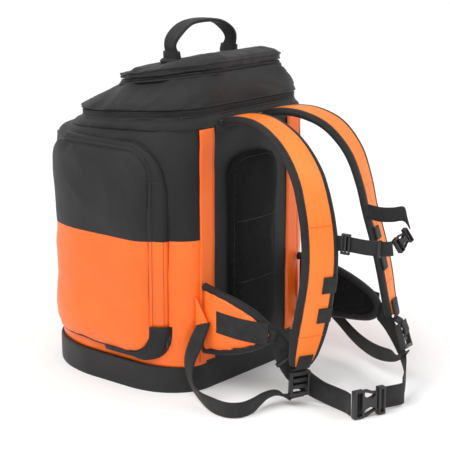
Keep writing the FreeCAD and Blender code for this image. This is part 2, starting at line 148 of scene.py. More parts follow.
def thread(name, colour):
    dark = tuple(c * 0.8 for c in colour)
    return mottled(name, (dark, colour), 300, bumps=[(1500, 2, 0.0002, 0.5)],
                   rough=0.6, specular=0.3, sheen=0.2)


TARPAULIN = {"mottle": 7, "weave": (0.0014, 0.00015, 0.3),
             "bumps": [(25, 3, 0.002, 0.25), (9, 2, 0.006, 0.3)],
             "specular": 0.4, "coat": 0.1, "coat_rough": 0.35}
BLACK = mottled("black_fabric", ((0.006, 0.006, 0.0063), (0.015, 0.015, 0.0155)), 9,
                (0.0012, 0.0004, 0.45), [(60, 5, 0.0012, 0.35), (17, 2, 0.004, 0.3)],
                rough=0.56, specular=0.3, sheen=0.05)
BASE = mottled("base_fabric", ((0.009, 0.009, 0.0095), (0.017, 0.017, 0.0175)), 12,
               (0.0016, 0.0005, 0.5), [(40, 4, 0.0015, 0.3)], rough=0.55, specular=0.3, sheen=0.05)
ORANGE = mottled("orange_tarpaulin", ((0.87, 0.125, 0.007), (0.97, 0.165, 0.013)), rough=0.42,
                 **TARPAULIN)
STRAP_ORANGE = mottled("strap_orange", ((0.9, 0.18, 0.014), (0.98, 0.24, 0.026)), rough=0.5,
                       **TARPAULIN)
WEB = mottled("webbing", ((0.011, 0.011, 0.0115), (0.021, 0.021, 0.0215)), 60,
              (0.0011, 0.0006, 0.6), rough=0.65, specular=0.3, sheen=0.06)
PLASTIC = mottled("moulded", ((0.011, 0.011, 0.012), (0.018, 0.018, 0.019)), 40,
                  bumps=[(900, 2, 0.0001, 0.4)], rough=0.34, specular=0.5)
STEEL = mottled("steel", ((0.4, 0.4, 0.41), (0.55, 0.55, 0.56)), 200,
                bumps=[(1200, 2, 0.0001, 0.4)], rough=0.3, specular=0.6, metallic=1.0)
MESH = mesh_fabric()
BLACK_THREAD = thread("black_thread", (0.012, 0.012, 0.013))
ORANGE_THREAD = thread("orange_thread", (1.0, 0.34, 0.1))
GREY_THREAD = thread("grey_thread", (0.3, 0.28, 0.28))


# ================================================================ mesh helpers
def add_object(name, data):
    obj = bpy.data.objects.new(name, data)
    bpy.context.scene.collection.objects.link(obj)
    return obj


def piece(name, verts, faces, materials, face_material=None):
    """A new mesh object.  face_material(centre) picks the material of a face."""
    mesh = bpy.data.meshes.new(name)
    mesh.from_pydata([tuple(v) for v in verts], [], faces)
    for material in materials:
        mesh.materials.append(material)
    for polygon in mesh.polygons:
        polygon.use_smooth = True
        if face_material:
            polygon.material_index = face_material(polygon.center)
    form = bmesh.new()
    form.from_mesh(mesh)
    bmesh.ops.recalc_face_normals(form, faces=form.faces)
    form.to_mesh(mesh)
    form.free()
    obj = add_object(name, mesh)
    return obj


def tube_mesh(loops, closed=False):
    """Faces over a row of equal loops of points, capped at the ends unless closed."""
    count = len(loops[0])
    verts = [p for loop in loops for p in loop]
    faces = []
    spans = len(loops) if closed else len(loops) - 1
    for i in range(spans):
        a, b = i * count, ((i + 1) % len(loops)) * count
        for j in range(count):
            k = (j + 1) % count
            faces.append((a + j, a + k, b + k, b + j))
    if not closed:
        faces.append(tuple(range(count)))
        faces.append(tuple(range(len(verts) - count, len(verts))))
    return verts, faces


def smooth_path(points, per_span):
    """A Catmull-Rom curve through tuples of any length."""
    out = []
    last = len(points) - 1
    for i in range(last):
        p = [points[max(i - 1, 0)], points[i], points[i + 1], points[min(i + 2, last)]]
        for s in range(per_span):
            t = s / per_span
            w = (-0.5 * t**3 + t**2 - 0.5 * t, 1.5 * t**3 - 2.5 * t**2 + 1,
                 -1.5 * t**3 + 2 * t**2 + 0.5 * t, 0.5 * t**3 - 0.5 * t**2)
            out.append(tuple(sum(w[k] * p[k][c] for k in range(4)) for c in range(len(p[0]))))
    out.append(tuple(points[-1]))
    return out


def frames_along(stations):
    """Centre, across and normal at each station (x, y, z, wx, wy, wz, width)."""
    centres = [Vector(s[:3]) for s in stations]
    out = []
    for i, station in enumerate(stations):
        ahead = centres[min(i + 1, len(centres) - 1)] - centres[max(i - 1, 0)]
        across = Vector(station[3:6]).normalized()
        normal = ahead.cross(across).normalized()
        out.append((centres[i], across, normal, station[6]))
    return out


def flat_section(shares):
    """A flat band's section: (across, height), in half widths and in thicknesses."""
    return [(u, -0.5) for u in shares] + [(u, 0.5) for u in shares[::-1]]


BAND_SECTION = flat_section((-1, -0.5, 0, 0.5, 1))


def strip(name, stations, thick, materials, section=BAND_SECTION, per_span=6):
    """A band along stations, with a section given as (across, height) pairs."""
    loops = []
    for centre, across, normal, width in frames_along(smooth_path(stations, per_span)):
        loops.append([centre + across * (u * width / 2) + normal * (h * thick)
                      for u, h in section])
    return piece(name, *tube_mesh(loops), materials)


def tube(name, points, radius, material, sides=8, closed=False):
    """A round piping or cord through the given points."""
    centres = [Vector(p) for p in points]
    count = len(centres)
    loops = []
    side = None
    for i, centre in enumerate(centres):
        before = centres[i - 1] if closed else centres[max(i - 1, 0)]
        after = centres[(i + 1) % count] if closed else centres[min(i + 1, count - 1)]
        ahead = (after - before).normalized()
        if side is None:
            side = ahead.orthogonal().normalized()
        side = (side - ahead * side.dot(ahead)).normalized()
        up = ahead.cross(side)
        loops.append([centre + side * (math.cos(a) * radius) + up * (math.sin(a) * radius)
                      for a in (2 * math.pi * k / sides for k in range(sides))])
    return piece(name, *tube_mesh(loops, closed), [material])


THREAD_SIDES = 4
# Half the length of a stitch, as a share of the pitch.
STITCH_REACH = 0.32


def stitches(name, points, pitch, size, material):
    """A row of short raised threads along a line of points, as one mesh."""
    verts, faces = [], []
    walk, due = 0.0, 0.0
    for a, b in zip(points, points[1:]):
        a, b = Vector(a), Vector(b)
        run = (b - a).length
        while due <= walk + run:
            centre = a.lerp(b, (due - walk) / run)
            ahead = (b - a).normalized()
            side = ahead.orthogonal().normalized()
            up = ahead.cross(side)
            near = range(len(verts), len(verts) + THREAD_SIDES)
            far = range(near.stop, near.stop + THREAD_SIDES)
            for end in (-1, 1):
                for k in range(THREAD_SIDES):
                    angle = math.pi * (k / 2 + 0.25)
                    offset = side * math.cos(angle) + up * math.sin(angle)
                    verts.append(centre + ahead * (end * pitch * STITCH_REACH) + offset * size)
            for k in range(THREAD_SIDES):
                n = (k + 1) % THREAD_SIDES
                faces.append((near[k], near[n], far[n], far[k]))
            faces.append(tuple(near))
            faces.append(tuple(far))
            due += pitch
        walk += run
    return piece(name, verts, faces, [material])


def finish_piece(obj, body, *nodes, padded=None):
    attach(obj, body)
    if nodes:
        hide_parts(*nodes)


# ================================================================ outline of the bag
# Seen from above: half the flat of the back, half the width, y of the back, y where the
# rear corner ends, y where the front corner starts, half the flat of the front, front y.
BASE_FOOT = (112, 194, 172, 70, -20, 80, -170)
BASE_RIM = (126, 192, 170, 70, -20, 80, -172)
BODY = (126, 184, 170, 80, -20, 78, -172)
YOKE = (116, 172, 170, 100, -10, 60, -140)
LID_RING = (100, 165, 168, 90, 0, 50, -125)
YOKE_MIDDLE = (108, 169, 169, 95, -5, 55, -133)
LID_MIDDLE = (86, 145, 168, 86, 10, 38, -96)
CAP_RING = (70, 120, 167, 78, 18, 22, -60)
CAP_CROWN = (58, 98, 146, 70, 16, 16, -32)
CORNER_STEPS = 20
FLAT_STEPS = 12
SIDE_STEPS = 16
FRONT_STEPS = 12


def outline(plan, z_back, z_front, outset=0.0):
    """Points round the bag, counter-clockwise from the middle of the back."""
    back, half, y_back, y_rear, y_fore, front, y_front = plan
    half, y_back, y_front = half + outset, y_back + outset, y_front - outset
    right = []
    for i in range(FLAT_STEPS):
        right.append((back * i / FLAT_STEPS, y_back))
    for i in range(CORNER_STEPS):
        a = math.pi / 2 * i / CORNER_STEPS
        right.append((back + (half - back) * math.sin(a), y_rear + (y_back - y_rear) * math.cos(a)))
    for i in range(SIDE_STEPS):
        right.append((half, y_rear + (y_fore - y_rear) * i / SIDE_STEPS))
    for i in range(CORNER_STEPS):
        a = math.pi / 2 * i / CORNER_STEPS
        right.append((front + (half - front) * math.cos(a), y_fore + (y_front - y_fore) * math.sin(a)))
    for i in range(FRONT_STEPS + 1):
        right.append((front * (1 - i / FRONT_STEPS), y_front))
    left = [(-x, y) for x, y in right[-2:0:-1]]
    slope = (z_back - z_front) / (plan[2] - plan[6])
    return [Vector((x, y, z_back - slope * (plan[2] - y))) * MM for x, y in right + left]


# A fold: height of its ridge, depth of the hollows, and a finer wave with its scale.
RIDGE, HOLLOW, FINE_WAVE, FINE_SCALE = 0.6, 2.2, 0.35, 2.6


def folds(run, height, seed, pattern):
    """Folds of slack cloth: narrow ridges with broad hollows, which lean by the pattern."""
    along, lean, up = pattern
    spot = Vector((run * along + height * lean, height * up, seed))
    return RIDGE - HOLLOW * abs(noise.noise(spot)) + FINE_WAVE * noise.noise(spot * FINE_SCALE)


def loops_through(levels, rows):
    """Loops of points on curves through the outlines at (plan, z back, z front, outset)."""
    rings = [outline(*level) for level in levels]
    columns = [smooth_path([tuple(ring[j]) for ring in rings], rows) for j in range(len(rings[0]))]
    return [[Vector(column[r]) for column in columns] for r in range(len(columns[0]))]


def shell(name, levels, materials, rows=5, wall=0.003, amount=0.0, pattern=(12, 6, 8),
          face_material=None):
    """A fabric wall through a list of levels, with folds of the given amount."""
    dense = loops_through(levels, rows)
    count = len(dense[0])
    outer = []
    for r, loop in enumerate(dense):
        calm = min(1, 2 * math.sin(math.pi * r / (len(dense) - 1)))
        row = []
        run = 0.0
        for j, p in enumerate(loop):
            along = loop[(j + 1) % count] - loop[j - 1]
            run += along.length / 2
            out = Vector((-along.y, along.x, 0)).normalized()
            if out.dot(Vector((p.x, p.y, 0))) < 0:
                out.negate()
            joined = min(1, 4 * min(j, count - j) / count)
            wave = folds(run, p.z, len(name), pattern)
            row.append(p + out * (wave * amount * calm * joined))
        outer.append(row)
    inner = [[Vector((p.x - math.copysign(min(wall, abs(p.x)), p.x),
                      p.y - math.copysign(wall, p.y), p.z)) for p in row] for row in outer]
    verts, faces = tube_mesh(outer + inner[::-1], closed=True)
    return piece(name, verts, faces, materials, face_material)


# Height of the line between orange and black, and the black cloth behind: from y, half x, m.
COLOUR_LINE = 0.258
BEHIND_Y, BEHIND_HALF = 0.155, 0.115


def colour_split(centre):
    return 1 if centre.z < COLOUR_LINE else 0


def wall_colour(centre):
    """Orange below the line, apart from the black cloth between the two strips."""
    behind = centre.y > BEHIND_Y and abs(centre.x) < BEHIND_HALF
    return 0 if behind else colour_split(centre)


# The boot openings behind the doors: y from and to, z from and to, mm, cut where the wall
# stands further out than SIDE_FROM, m.
BOOT_OPENING = (-118, 118, 70, 394)
SIDE_FROM = 0.12


def cut_openings(wall):
    """Cuts the boot openings out of the wall, and binds their edges."""
    y0, y1, z0, z1 = (value * MM for value in BOOT_OPENING)
    form = bmesh.new()
    form.from_mesh(wall.data)
    for place, normal in (((0, y0, 0), (0, 1, 0)), ((0, y1, 0), (0, 1, 0)),
                          ((0, 0, z0), (0, 0, 1)), ((0, 0, z1), (0, 0, 1))):
        bmesh.ops.bisect_plane(form, geom=form.verts[:] + form.edges[:] + form.faces[:],
                               plane_co=place, plane_no=normal, dist=1e-6)
    gone = []
    for face in form.faces:
        c = face.calc_center_median()
        if abs(c.x) > SIDE_FROM and y0 < c.y < y1 and z0 < c.z < z1:
            gone.append(face)
    bmesh.ops.delete(form, geom=gone, context="FACES")
    form.to_mesh(wall.data)
    form.free()
    for name, side in SIDES:
        place = side_place(side)
        edge = [place(u, w, -1.2) for u, w in rounded(*BOOT_OPENING, 3, steps=3, straight=8)]
        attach(tube("opening_binding_" + name, edge, 0.0026, BLACK, closed=True), "root")


def body_shell():
    tub = shell("base_shell", [(BASE_FOOT, 0, 0, -3), (BASE_FOOT, 3, 3, 0), (BASE_RIM, 40, 40, 0),
                               (BASE_RIM, 44, 44, -3)], [BASE], amount=0.001, pattern=(14, 2, 20))
    finish_piece(tub, "root", "base_tub")
    wall = shell("body_shell", [(BODY, 44, 44, 0), (BODY, 150, 150, 1), (BODY, 258, 258, 1),
                                (BODY, 396, 396, 0), (YOKE, 440, 420, 0)],
                 [BLACK, ORANGE], rows=14, amount=0.0034, pattern=(12, 8, 10),
                 face_material=wall_colour)
    cut_openings(wall)
    finish_piece(wall, "root", "back_panel", "rear_corner_panels", "front_panel", "door_sills",
                 "upper_panel", padded=0.4)
    yoke = shell("yoke_shell", [(YOKE, 438, 418, 0), (YOKE, 441, 421, 2), (YOKE_MIDDLE, 450, 427, 4),
                                (LID_RING, 458, 432, 2), (LID_RING, 461, 435, 1)],
                 [BLACK], rows=8, amount=0.003, pattern=(22, 12, 18))
    finish_piece(yoke, "root", "yoke_band")
    tape = shell("lid_zip_tape", [(LID_RING, 460, 434, 1.3), (LID_RING, 470, 444, 1.3)], [WEB])
    finish_piece(tape, "root", "lid_zip")
    gusset = shell("lid_shell", [(LID_RING, 471, 445, 1), (LID_RING, 476, 450, 2),
                                 (LID_MIDDLE, 498, 465, 5.5), (CAP_RING, 520, 484, 3.5),
                                 (CAP_RING, 524, 488, 0)],
                   [BLACK], rows=16, amount=0.006, pattern=(30, 36, 17))
    finish_piece(gusset, "lid", "lid_gusset", padded=0.3)
    cap_tape = shell("cap_zip_tape", [(CAP_RING, 523, 487, 0), (CAP_RING, 529, 493, 0)], [WEB])
    finish_piece(cap_tape, "lid", "cap_zip")


# ================================================================ soft pads
def rounded(u0, u1, w0, w1, radius, steps=8, straight=14):
    """Points round a rounded rectangle, counter-clockwise from the lower right."""
    out = []
    for cu, cw, turn in ((u1 - radius, w0 + radius, -90), (u1 - radius, w1 - radius, 0),
                         (u0 + radius, w1 - radius, 90), (u0 + radius, w0 + radius, 180)):
        for i in range(steps + 1):
            a = math.radians(turn + 90 * i / steps)
            out.append((cu + radius * math.cos(a), cw + radius * math.sin(a)))
    dense = []
    for (ua, wa), (ub, wb) in zip(out, out[1:] + out[:1]):
        parts = max(1, round(math.hypot(ub - ua, wb - wa) / straight))
        dense += [(ua + (ub - ua) * i / parts, wa + (wb - wa) * i / parts)
                  for i in range(parts)]
    return dense


# How far a pad's rows close up towards its ends: 0 for even rows, 1 for a full cosine.
ROW_EASE = 0.25


def pillow(name, bounds, radius, place, low, edge, high, materials, face_material=None,
           step=9.0, soft=14.0):
    """A closed pad on a rounded rectangle (mm).  place(u, w, h) maps it into the row
    frame; it stands from height low to edge at its rim and to high further in."""
    u0, u1, w0, w1 = bounds
    rows = max(4, round((w1 - w0) / step))
    cols = max(4, round((u1 - u0) / step))
    outer, inner = [], []
    for i in range(rows + 1):
        w = (w0 + w1) / 2 - (w1 - w0) / 2 * math.cos(math.pi * i / rows) * ROW_EASE
        w += (i / rows - 0.5) * (w1 - w0) * (1 - ROW_EASE)
        near = min(w - w0, w1 - w)
        short = radius - math.sqrt(max(0, radius**2 - (radius - near) ** 2)) if near < radius else 0
        for j in range(cols + 1):
            u = u0 + short + (u1 - u0 - 2 * short) * j / cols
            inset_by = min(near, u - u0 - short, u1 - short - u)
            h = edge + (high - edge) * (1 - math.exp(-inset_by / soft))
            outer.append(place(u, w, h))
            inner.append(place(u, w, low))
    count, width = len(outer), cols + 1
    faces = []
    for i in range(rows):
        for j in range(cols):
            a = i * width + j
            faces.append((a, a + 1, a + width + 1, a + width))
            faces.append((count + a, count + a + width, count + a + width + 1, count + a + 1))
    rim = list(range(cols)) + [i * width + cols for i in range(rows)]
    rim += [rows * width + j for j in range(cols, 0, -1)] + [i * width for i in range(rows, 0, -1)]
    for a, b in zip(rim, rim[1:] + rim[:1]):
        faces.append((a, count + a, count + b, b))
    return piece(name, outer + inner, faces, materials, face_material)


def evaluated(obj):
    """Applies the modifiers of an object to its mesh."""
    graph = bpy.context.evaluated_depsgraph_get()
    mesh = bpy.data.meshes.new_from_object(obj.evaluated_get(graph))
    obj.modifiers.clear()
    obj.data = mesh


def subdivided(obj):
    obj.modifiers.new("subdivide", "SUBSURF").levels = 1
    evaluated(obj)


CLOTH_FRAMES = 20


def inflate(obj, cap, pressure=4.0, voxel=0.005, face_material=None):
    """Fills a pad by cloth simulation, then moves no point further than the cap."""
    remesh = obj.modifiers.new("remesh", "REMESH")
    remesh.mode = "VOXEL"
    remesh.voxel_size = voxel
    evaluated(obj)
    start = [v.co.copy() for v in obj.data.vertices]
    cloth = obj.modifiers.new("cloth", "CLOTH")
    cloth.settings.use_pressure = True
    cloth.settings.uniform_pressure_force = pressure
    cloth.settings.effector_weights.gravity = 0
    cloth.point_cache.frame_start = 1
    cloth.point_cache.frame_end = CLOTH_FRAMES
    for step in range(1, CLOTH_FRAMES + 1):
        bpy.context.scene.frame_set(step)
    evaluated(obj)
    bpy.context.scene.frame_set(1)
    for vertex, before in zip(obj.data.vertices, start):
        moved = vertex.co - before
        if moved.length > cap:
            vertex.co = before + moved.normalized() * cap
    subdivided(obj)
    for polygon in obj.data.polygons:
        polygon.use_smooth = True
        if face_material:
            polygon.material_index = face_material(polygon.center)


def rumple(obj, amount, across, up, pattern, face_material=None):
    """Raises soft folds on a finished pad, along its normals."""
    across, up = Vector(across), Vector(up)
    moved = []
    for vertex in obj.data.vertices:
        wave = folds(vertex.co.dot(across), vertex.co.dot(up), len(obj.name), pattern)
        moved.append(vertex.co + vertex.normal * (wave * amount))
    for vertex, place in zip(obj.data.vertices, moved):
        vertex.co = place
    if face_material:
        for polygon in obj.data.polygons:
            polygon.material_index = face_material(polygon.center)


SEARCH_REACH = 0.04


def on_surface(obj, points, lift):
    """The points moved to the nearest place on a piece, and lifted off it."""
    graph = bpy.context.evaluated_depsgraph_get()
    tree = BVHTree.FromObject(obj, graph)
    out = []
    for point in points:
        place, normal, _, _ = tree.find_nearest(Vector(point), SEARCH_REACH)
        out.append(place + normal * lift if place else Vector(point))
    return out


# Stitches: pitch and half thickness, m.
FINE_STITCH = (0.0032, 0.0004)
DOOR_STITCH = (0.0032, 0.00045)
PAD_STITCH = (0.004, 0.0005)
LONG_STITCH = (0.004, 0.00045)
CROSS_STITCH = (0.003, 0.0004)
BAR_TACK = (0.003, 0.0005)


def sew(name, points, stitch, material, body, on=None, lift=0.0002):
    """Stitches along the points, or along them on the surface of a piece."""
    line = on_surface(on, points, lift) if on else points
    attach(stitches(name, line, *stitch, material), body)


def side_place(side):
    """Maps (y, z, distance off the side wall) to the row frame."""
    back, half, y_back, y_rear, y_fore, front, y_front = BODY

    def corner(flat, past, depth, h):
        return flat + (half - flat + h) * math.sqrt(max(0, 1 - (past / (depth + h)) ** 2))

    def place(y, z, h):
        x = half + h
        if y > y_rear:
            x = corner(back, y - y_rear, y_back - y_rear, h)
        elif y < y_fore:
            x = corner(front, y_fore - y, y_fore - y_front, h)
        return Vector((side * x, y, z)) * MM
    return place


DOOR = (-128, 118, 60, 408)
DOOR_ROUND = 46
# The flap over a door's zip runs up the rear edge from FLAP_FOOT and along the top to
# FLAP_END.  Above FLAP_FULL it narrows.  The black corner piece covers the zip below
# GARAGE_TOP, back from GARAGE_FRONT, and widens towards the rear.  All in mm.
FLAP_FOOT, FLAP_FULL, FLAP_END = 110, 340, -90
FLAP_FADE, FLAP_NARROW = 110, 0.34
GARAGE_TOP, GARAGE_FRONT = 118, 8
GARAGE_FROM, GARAGE_FADE, GARAGE_NARROW = 78, 40, 0.2


# Sections of both: distance out from the door's outline, and height off the wall, mm.
FLAP_PROFILE = [(-4, 0.3), (-4, 13), (-1, 12.4), (2, 9.5), (9, 9.8), (16, 8), (19, 5.5), (20.5, 0.3)]
GARAGE_PROFILE = [(-4, 0.3), (-4, 14), (-1, 13.6), (2, 11.8), (10, 12.2), (19, 11.4), (23, 8.5), (25, 0.3)]
FLAP_SEAMS = ((0.6, 11.6), (17, 7.8))


def hugging(place, route, profile):
    """Loops of a sewn band over a wall.  route is (u, w, width share), profile mm."""
    loops = []
    for i, (u, w, share) in enumerate(route):
        ahead = Vector(route[min(i + 1, len(route) - 1)][:2]) - Vector(route[max(i - 1, 0)][:2])
        out = Vector((ahead.y, -ahead.x)).normalized()
        loops.append([place(u + out.x * o * (share if o > 0 else 1),
                            w + out.y * o * (share if o > 0 else 1), h) for o, h in profile])
    return loops


def door_route():
    """The outline of a door from the middle of its foot, round by the rear edge."""
    around = rounded(*DOOR, DOOR_ROUND, steps=14, straight=8)
    start = min(range(len(around)), key=lambda i: math.hypot(around[i][0] + 80, around[i][1] - DOOR[2]))
    return around[start:] + around[:start]


def flap_route(route):
    """The flap's stretch of a door's outline, as (u, w, width share)."""
    corner = DOOR[1] - DOOR_ROUND
    rear = [(u, w) for u, w in route if w > FLAP_FOOT and u > corner + 0.5]
    top = [(u, w) for u, w in route if w > DOOR[3] - 0.1 and FLAP_END < u <= corner]
    flap = [(u, w, min(1.0, max(FLAP_NARROW, 1 - (w - FLAP_FULL) / FLAP_FADE))) for u, w in rear]
    return flap + [(u, w, FLAP_NARROW) for u, w in top]


def garage_route(route):
    """The corner piece's stretch of a door's outline, as (u, w, width share)."""
    low = [(u, w) for u, w in route if w < GARAGE_TOP and u > GARAGE_FRONT]
    share = [GARAGE_NARROW + (u - GARAGE_FROM) / GARAGE_FADE for u, w in low]
    return [(u, w, max(GARAGE_NARROW, min(1.0, s))) for (u, w), s in zip(low, share)]


def door_panels():
    for name, side in SIDES:
        body = "door_" + name
        place = side_place(side)
        panel = pillow("door_panel_" + name, DOOR, DOOR_ROUND, place, 3, 11, 14.5,
                       [BLACK, ORANGE], colour_split, step=7.0)
        inflate(panel, 0.005, face_material=colour_split)
        rumple(panel, 0.002, (0, 1, 0), (0, 0, 1), (10, 8, 9), colour_split)
        finish_piece(panel, body, "door_lower_" + name, "door_upper_" + name, padded=0.5)
        around = rounded(*DOOR, DOOR_ROUND)
        rim = on_surface(panel, [place(u, w, 12) for u, w in around], 0.0003)
        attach(tube("door_piping_" + name, rim, 0.0015, BLACK_THREAD, closed=True), body)
        route = door_route()
        flap = flap_route(route)
        band = piece("door_flap_" + name, *tube_mesh(hugging(place, flap, FLAP_PROFILE)),
                     [BLACK, ORANGE], colour_split)
        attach(band, body)
        garage = hugging(place, garage_route(route), GARAGE_PROFILE)
        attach(piece("door_garage_" + name, *tube_mesh(garage), [BLACK]), body)
        for k, spot in enumerate(FLAP_SEAMS):
            seam = [loop[0] for loop in hugging(place, flap, [spot])]
            sew(f"door_seam_{k}_{name}", seam, DOOR_STITCH, BLACK_THREAD, body, band, 0.0003)
        corner = min(range(len(flap)), key=lambda i: abs(flap[i][1] - 352) + abs(flap[i][0] - 118))
        across = hugging(place, flap[corner:corner + 2], FLAP_PROFILE)[0][1:7]
        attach(tube("door_cross_seam_" + name, across, 0.0007, BLACK_THREAD), body)


POCKET_HALF, POCKET_ROUND = 104, 22
FRONT_POCKETS = (("front_pocket_lower", 68, 252, ORANGE), ("front_pocket_upper", 264, 386, BLACK))


def front_pockets():
    def place(x, z, h):
        return Vector((x, BODY[6] - h, z)) * MM
    for name, low, high, material in FRONT_POCKETS:
        bounds = (-POCKET_HALF, POCKET_HALF, low, high)
        pad = pillow(name + "_panel", bounds, POCKET_ROUND, place, 0.5, 12, 16, [material])
        inflate(pad, 0.004)
        finish_piece(pad, "root", name, padded=0.5)
        rim = on_surface(pad, [place(u, w, 13) for u, w in rounded(*bounds, POCKET_ROUND)], 0.0003)
        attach(tube(name + "_piping", rim, 0.0013, BLACK_THREAD, closed=True), "root")


# The orange strips down the back: x of the middle, width and seams off the middle, m; foot
# and top, mm, and the number of stations.
STRIP_X, STRIP_WIDE = 0.1145, 0.035
STRIP_SEAMS = (-0.0155, 0.0155)
STRIP_FOOT, STRIP_TOP, STRIP_STEPS = 50, 438, 20


def back_trim():
    def place(x, z, h):
        return Vector((x, BODY[2] + h, z)) * MM
    pad = pillow("back_padding", (-68, 68, 60, 392), 38, place, 1, 6, 15, [MESH], soft=24.0)
    inflate(pad, 0.005)
    rumple(pad, 0.0012, (1, 0, 0), (0, 0, 1), (10, 4, 7))
    finish_piece(pad, "root", "back_pad", padded=0.6)
    line = [place(u, w, 12) for u, w in rounded(-56, 56, 72, 380, 30)]
    sew("back_pad_seam", line, PAD_STITCH, BLACK_THREAD, "root", pad)
    for k, z in enumerate((170, 275)):
        line = [place(x, z, 12) for x in range(-52, 53, 4)]
        sew(f"back_pad_channel_{k}", line, PAD_STITCH, BLACK_THREAD, "root", pad)
    for name, side in SIDES:
        stations = []
        for i in range(STRIP_STEPS):
            z = STRIP_FOOT + (STRIP_TOP - STRIP_FOOT) * i / (STRIP_STEPS - 1)
            ripple = 1.4 * noise.noise(Vector((side, 0, z * 0.03)))
            stations.append((side * STRIP_X, (171.6 + ripple) * MM, z * MM, 1, 0, 0, STRIP_WIDE))
        band = strip("back_strip_" + name, stations, 0.002, [ORANGE], per_span=3)
        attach(band, "root")
        if side == 1:
            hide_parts("back_strips")
        for k, offset in enumerate(STRIP_SEAMS):
            line = [(side * STRIP_X + offset, s[1] + 0.0012, s[2]) for s in stations]
            sew(f"back_strip_seam_{k}_{name}", line, FINE_STITCH, ORANGE_THREAD, "root")


CAP_LEVELS = [(CAP_RING, 527.5, 491.5, 0.5), (CAP_RING, 530, 494, 2.6), (CAP_RING, 537, 501, 3.4),
              (CAP_RING, 542.5, 504.5, 0), (CAP_CROWN, 549, 509, 0)]
# Pipings and zip coils: name, level of the outline, what carries them.
CAP_PIPINGS = (("cap_piping", (CAP_RING, 541, 504, 3)), ("cap_low_piping", (CAP_RING, 530.5, 494.5, 3)))
RING_PIPINGS = (("cap_zip_piping", (CAP_RING, 522.5, 486.5, 1.4), "lid"),
                ("lid_piping", (LID_RING, 473, 447, 0.8), "lid"),
                ("yoke_piping", (LID_RING, 459, 433, 0.8), "root"))
PIPING_RADIUS = 0.0021
# The cap's low piping ends short of the hinge, at this y, m.
CAP_HINGE_Y = 0.158
ZIP_COILS = (("zip_coil_low", (LID_RING, 463.5, 437.5, 2.1), 0.0007, "root"),
             ("zip_coil_high", (LID_RING, 467.5, 441.5, 2.1), 0.0007, "root"),
             ("cap_zip_coil", (CAP_RING, 526, 490, 0.6), 0.0008, "lid"))
COIL_PITCH = 0.0024


def cap_and_trim():
    """The cap's soft cover, and the pipings and zip coils round the top."""
    loops = loops_through(CAP_LEVELS, 4)
    crown = loops[-1]
    centre = sum(crown, Vector()) / len(crown)
    for t in (0.2, 0.4, 0.6, 0.8, 0.97):
        lift = Vector((0, 0, 0.003 * math.sin(math.pi / 2 * t)))
        loops.append([p.lerp(centre, t) + lift for p in crown])
    top = piece("cap_cover", *tube_mesh(loops), [BLACK])
    inflate(top, 0.003, pressure=2.5, voxel=0.004)
    rumple(top, 0.0028, (0.8, 0.6, 0), (-0.5, 0.8, 0), (14, 3, 24))
    finish_piece(top, "cap", "cap_panel", padded=0.4)
    for name, level in CAP_PIPINGS:
        line = on_surface(top, outline(*level), 0.0002)
        whole = name == "cap_piping"
        if not whole:
            line = [p for p in line if p.y < CAP_HINGE_Y]
        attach(tube(name, line, PIPING_RADIUS, BLACK, closed=whole), "cap")
    for name, level, body in RING_PIPINGS:
        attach(tube(name, outline(*level), PIPING_RADIUS, BLACK, closed=True), body)
    for name, level, size, body in ZIP_COILS:
        line = outline(*level)
        sew(name, line + line[:1], (COIL_PITCH, size), PLASTIC, body)
    return top


HANDLE_Y = 62
# Half of the handle: x, z, width and thickness, mm; and its section, like a strip's.
HANDLE_HALF = [(75, 547, 31, 5.0), (77, 552, 27, 5.5), (79, 559, 24, 7.5), (76, 568, 27, 7.5),
               (66, 578, 31, 6.5), (50, 588, 31, 6.0), (30, 594, 28, 6.5), (0, 596, 27, 7.0)]
HANDLE_SECTION = [(-0.9, -0.5), (-0.45, -0.42), (0, -0.5), (0.45, -0.42), (0.9, -0.5), (1, -0.2),
                  (1, 0.2), (0.9, 0.5), (0.45, 0.42), (0, 0.5), (-0.45, 0.42), (-0.9, 0.5),
                  (-1, 0.2), (-1, -0.2)]
# X of the middle of a foot, and a height above the cap to look down from, m.
FOOT_X, ABOVE_CAP = 0.074, 0.7


def handle(top):
    """The webbing handle, and its feet, which are sewn to the cap."""
    route = HANDLE_HALF + [(-x, z, w, t) for x, z, w, t in HANDLE_HALF[-2::-1]]
    loops = []
    dense = smooth_path(route, 5)
    across = Vector((0, 1, 0))
    for i, (x, z, wide, thick) in enumerate(dense):
        after, before = dense[min(i + 1, len(dense) - 1)], dense[max(i - 1, 0)]
        ahead = Vector((after[0] - before[0], 0, after[1] - before[1])).normalized()
        lean = 2.4 * noise.noise(Vector((x * 0.02, z * 0.02, 5)))
        spot = Vector((x, HANDLE_Y + lean, z))
        loops.append([(spot + across * (u * wide / 2) + ahead.cross(across) * (h * thick)) * MM
                      for u, h in HANDLE_SECTION])
    grip = piece("handle_grip", *tube_mesh(loops), [WEB])
    subdivided(grip)
    finish_piece(grip, "handle", "carry_handle")
    y = HANDLE_Y * MM
    tree = BVHTree.FromObject(top, bpy.context.evaluated_depsgraph_get())
    for name, side in SIDES:
        x = side * FOOT_X
        ground = tree.ray_cast(Vector((x, y, ABOVE_CAP)), Vector((0, 0, -1)))[0].z
        stations = [(x + side * 0.007, y, ground - 0.0012, 0, 1, 0, 0.038),
                    (x + side * 0.003, y, ground + 0.0016, 0, 1, 0, 0.037),
                    (x - side * 0.001, y, ground + 0.0035, 0, 1, 0, 0.034),
                    (x + side * 0.001, y, max(ground + 0.007, 0.550), 0, 1, 0, 0.031)]
        anchor = strip("handle_foot_" + name, stations, 0.0075, [WEB], per_span=5)
        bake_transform(anchor)
        if side == 1:
            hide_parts("handle_anchors")


body_shell()
door_panels()
front_pockets()
back_trim()
handle(cap_and_trim())


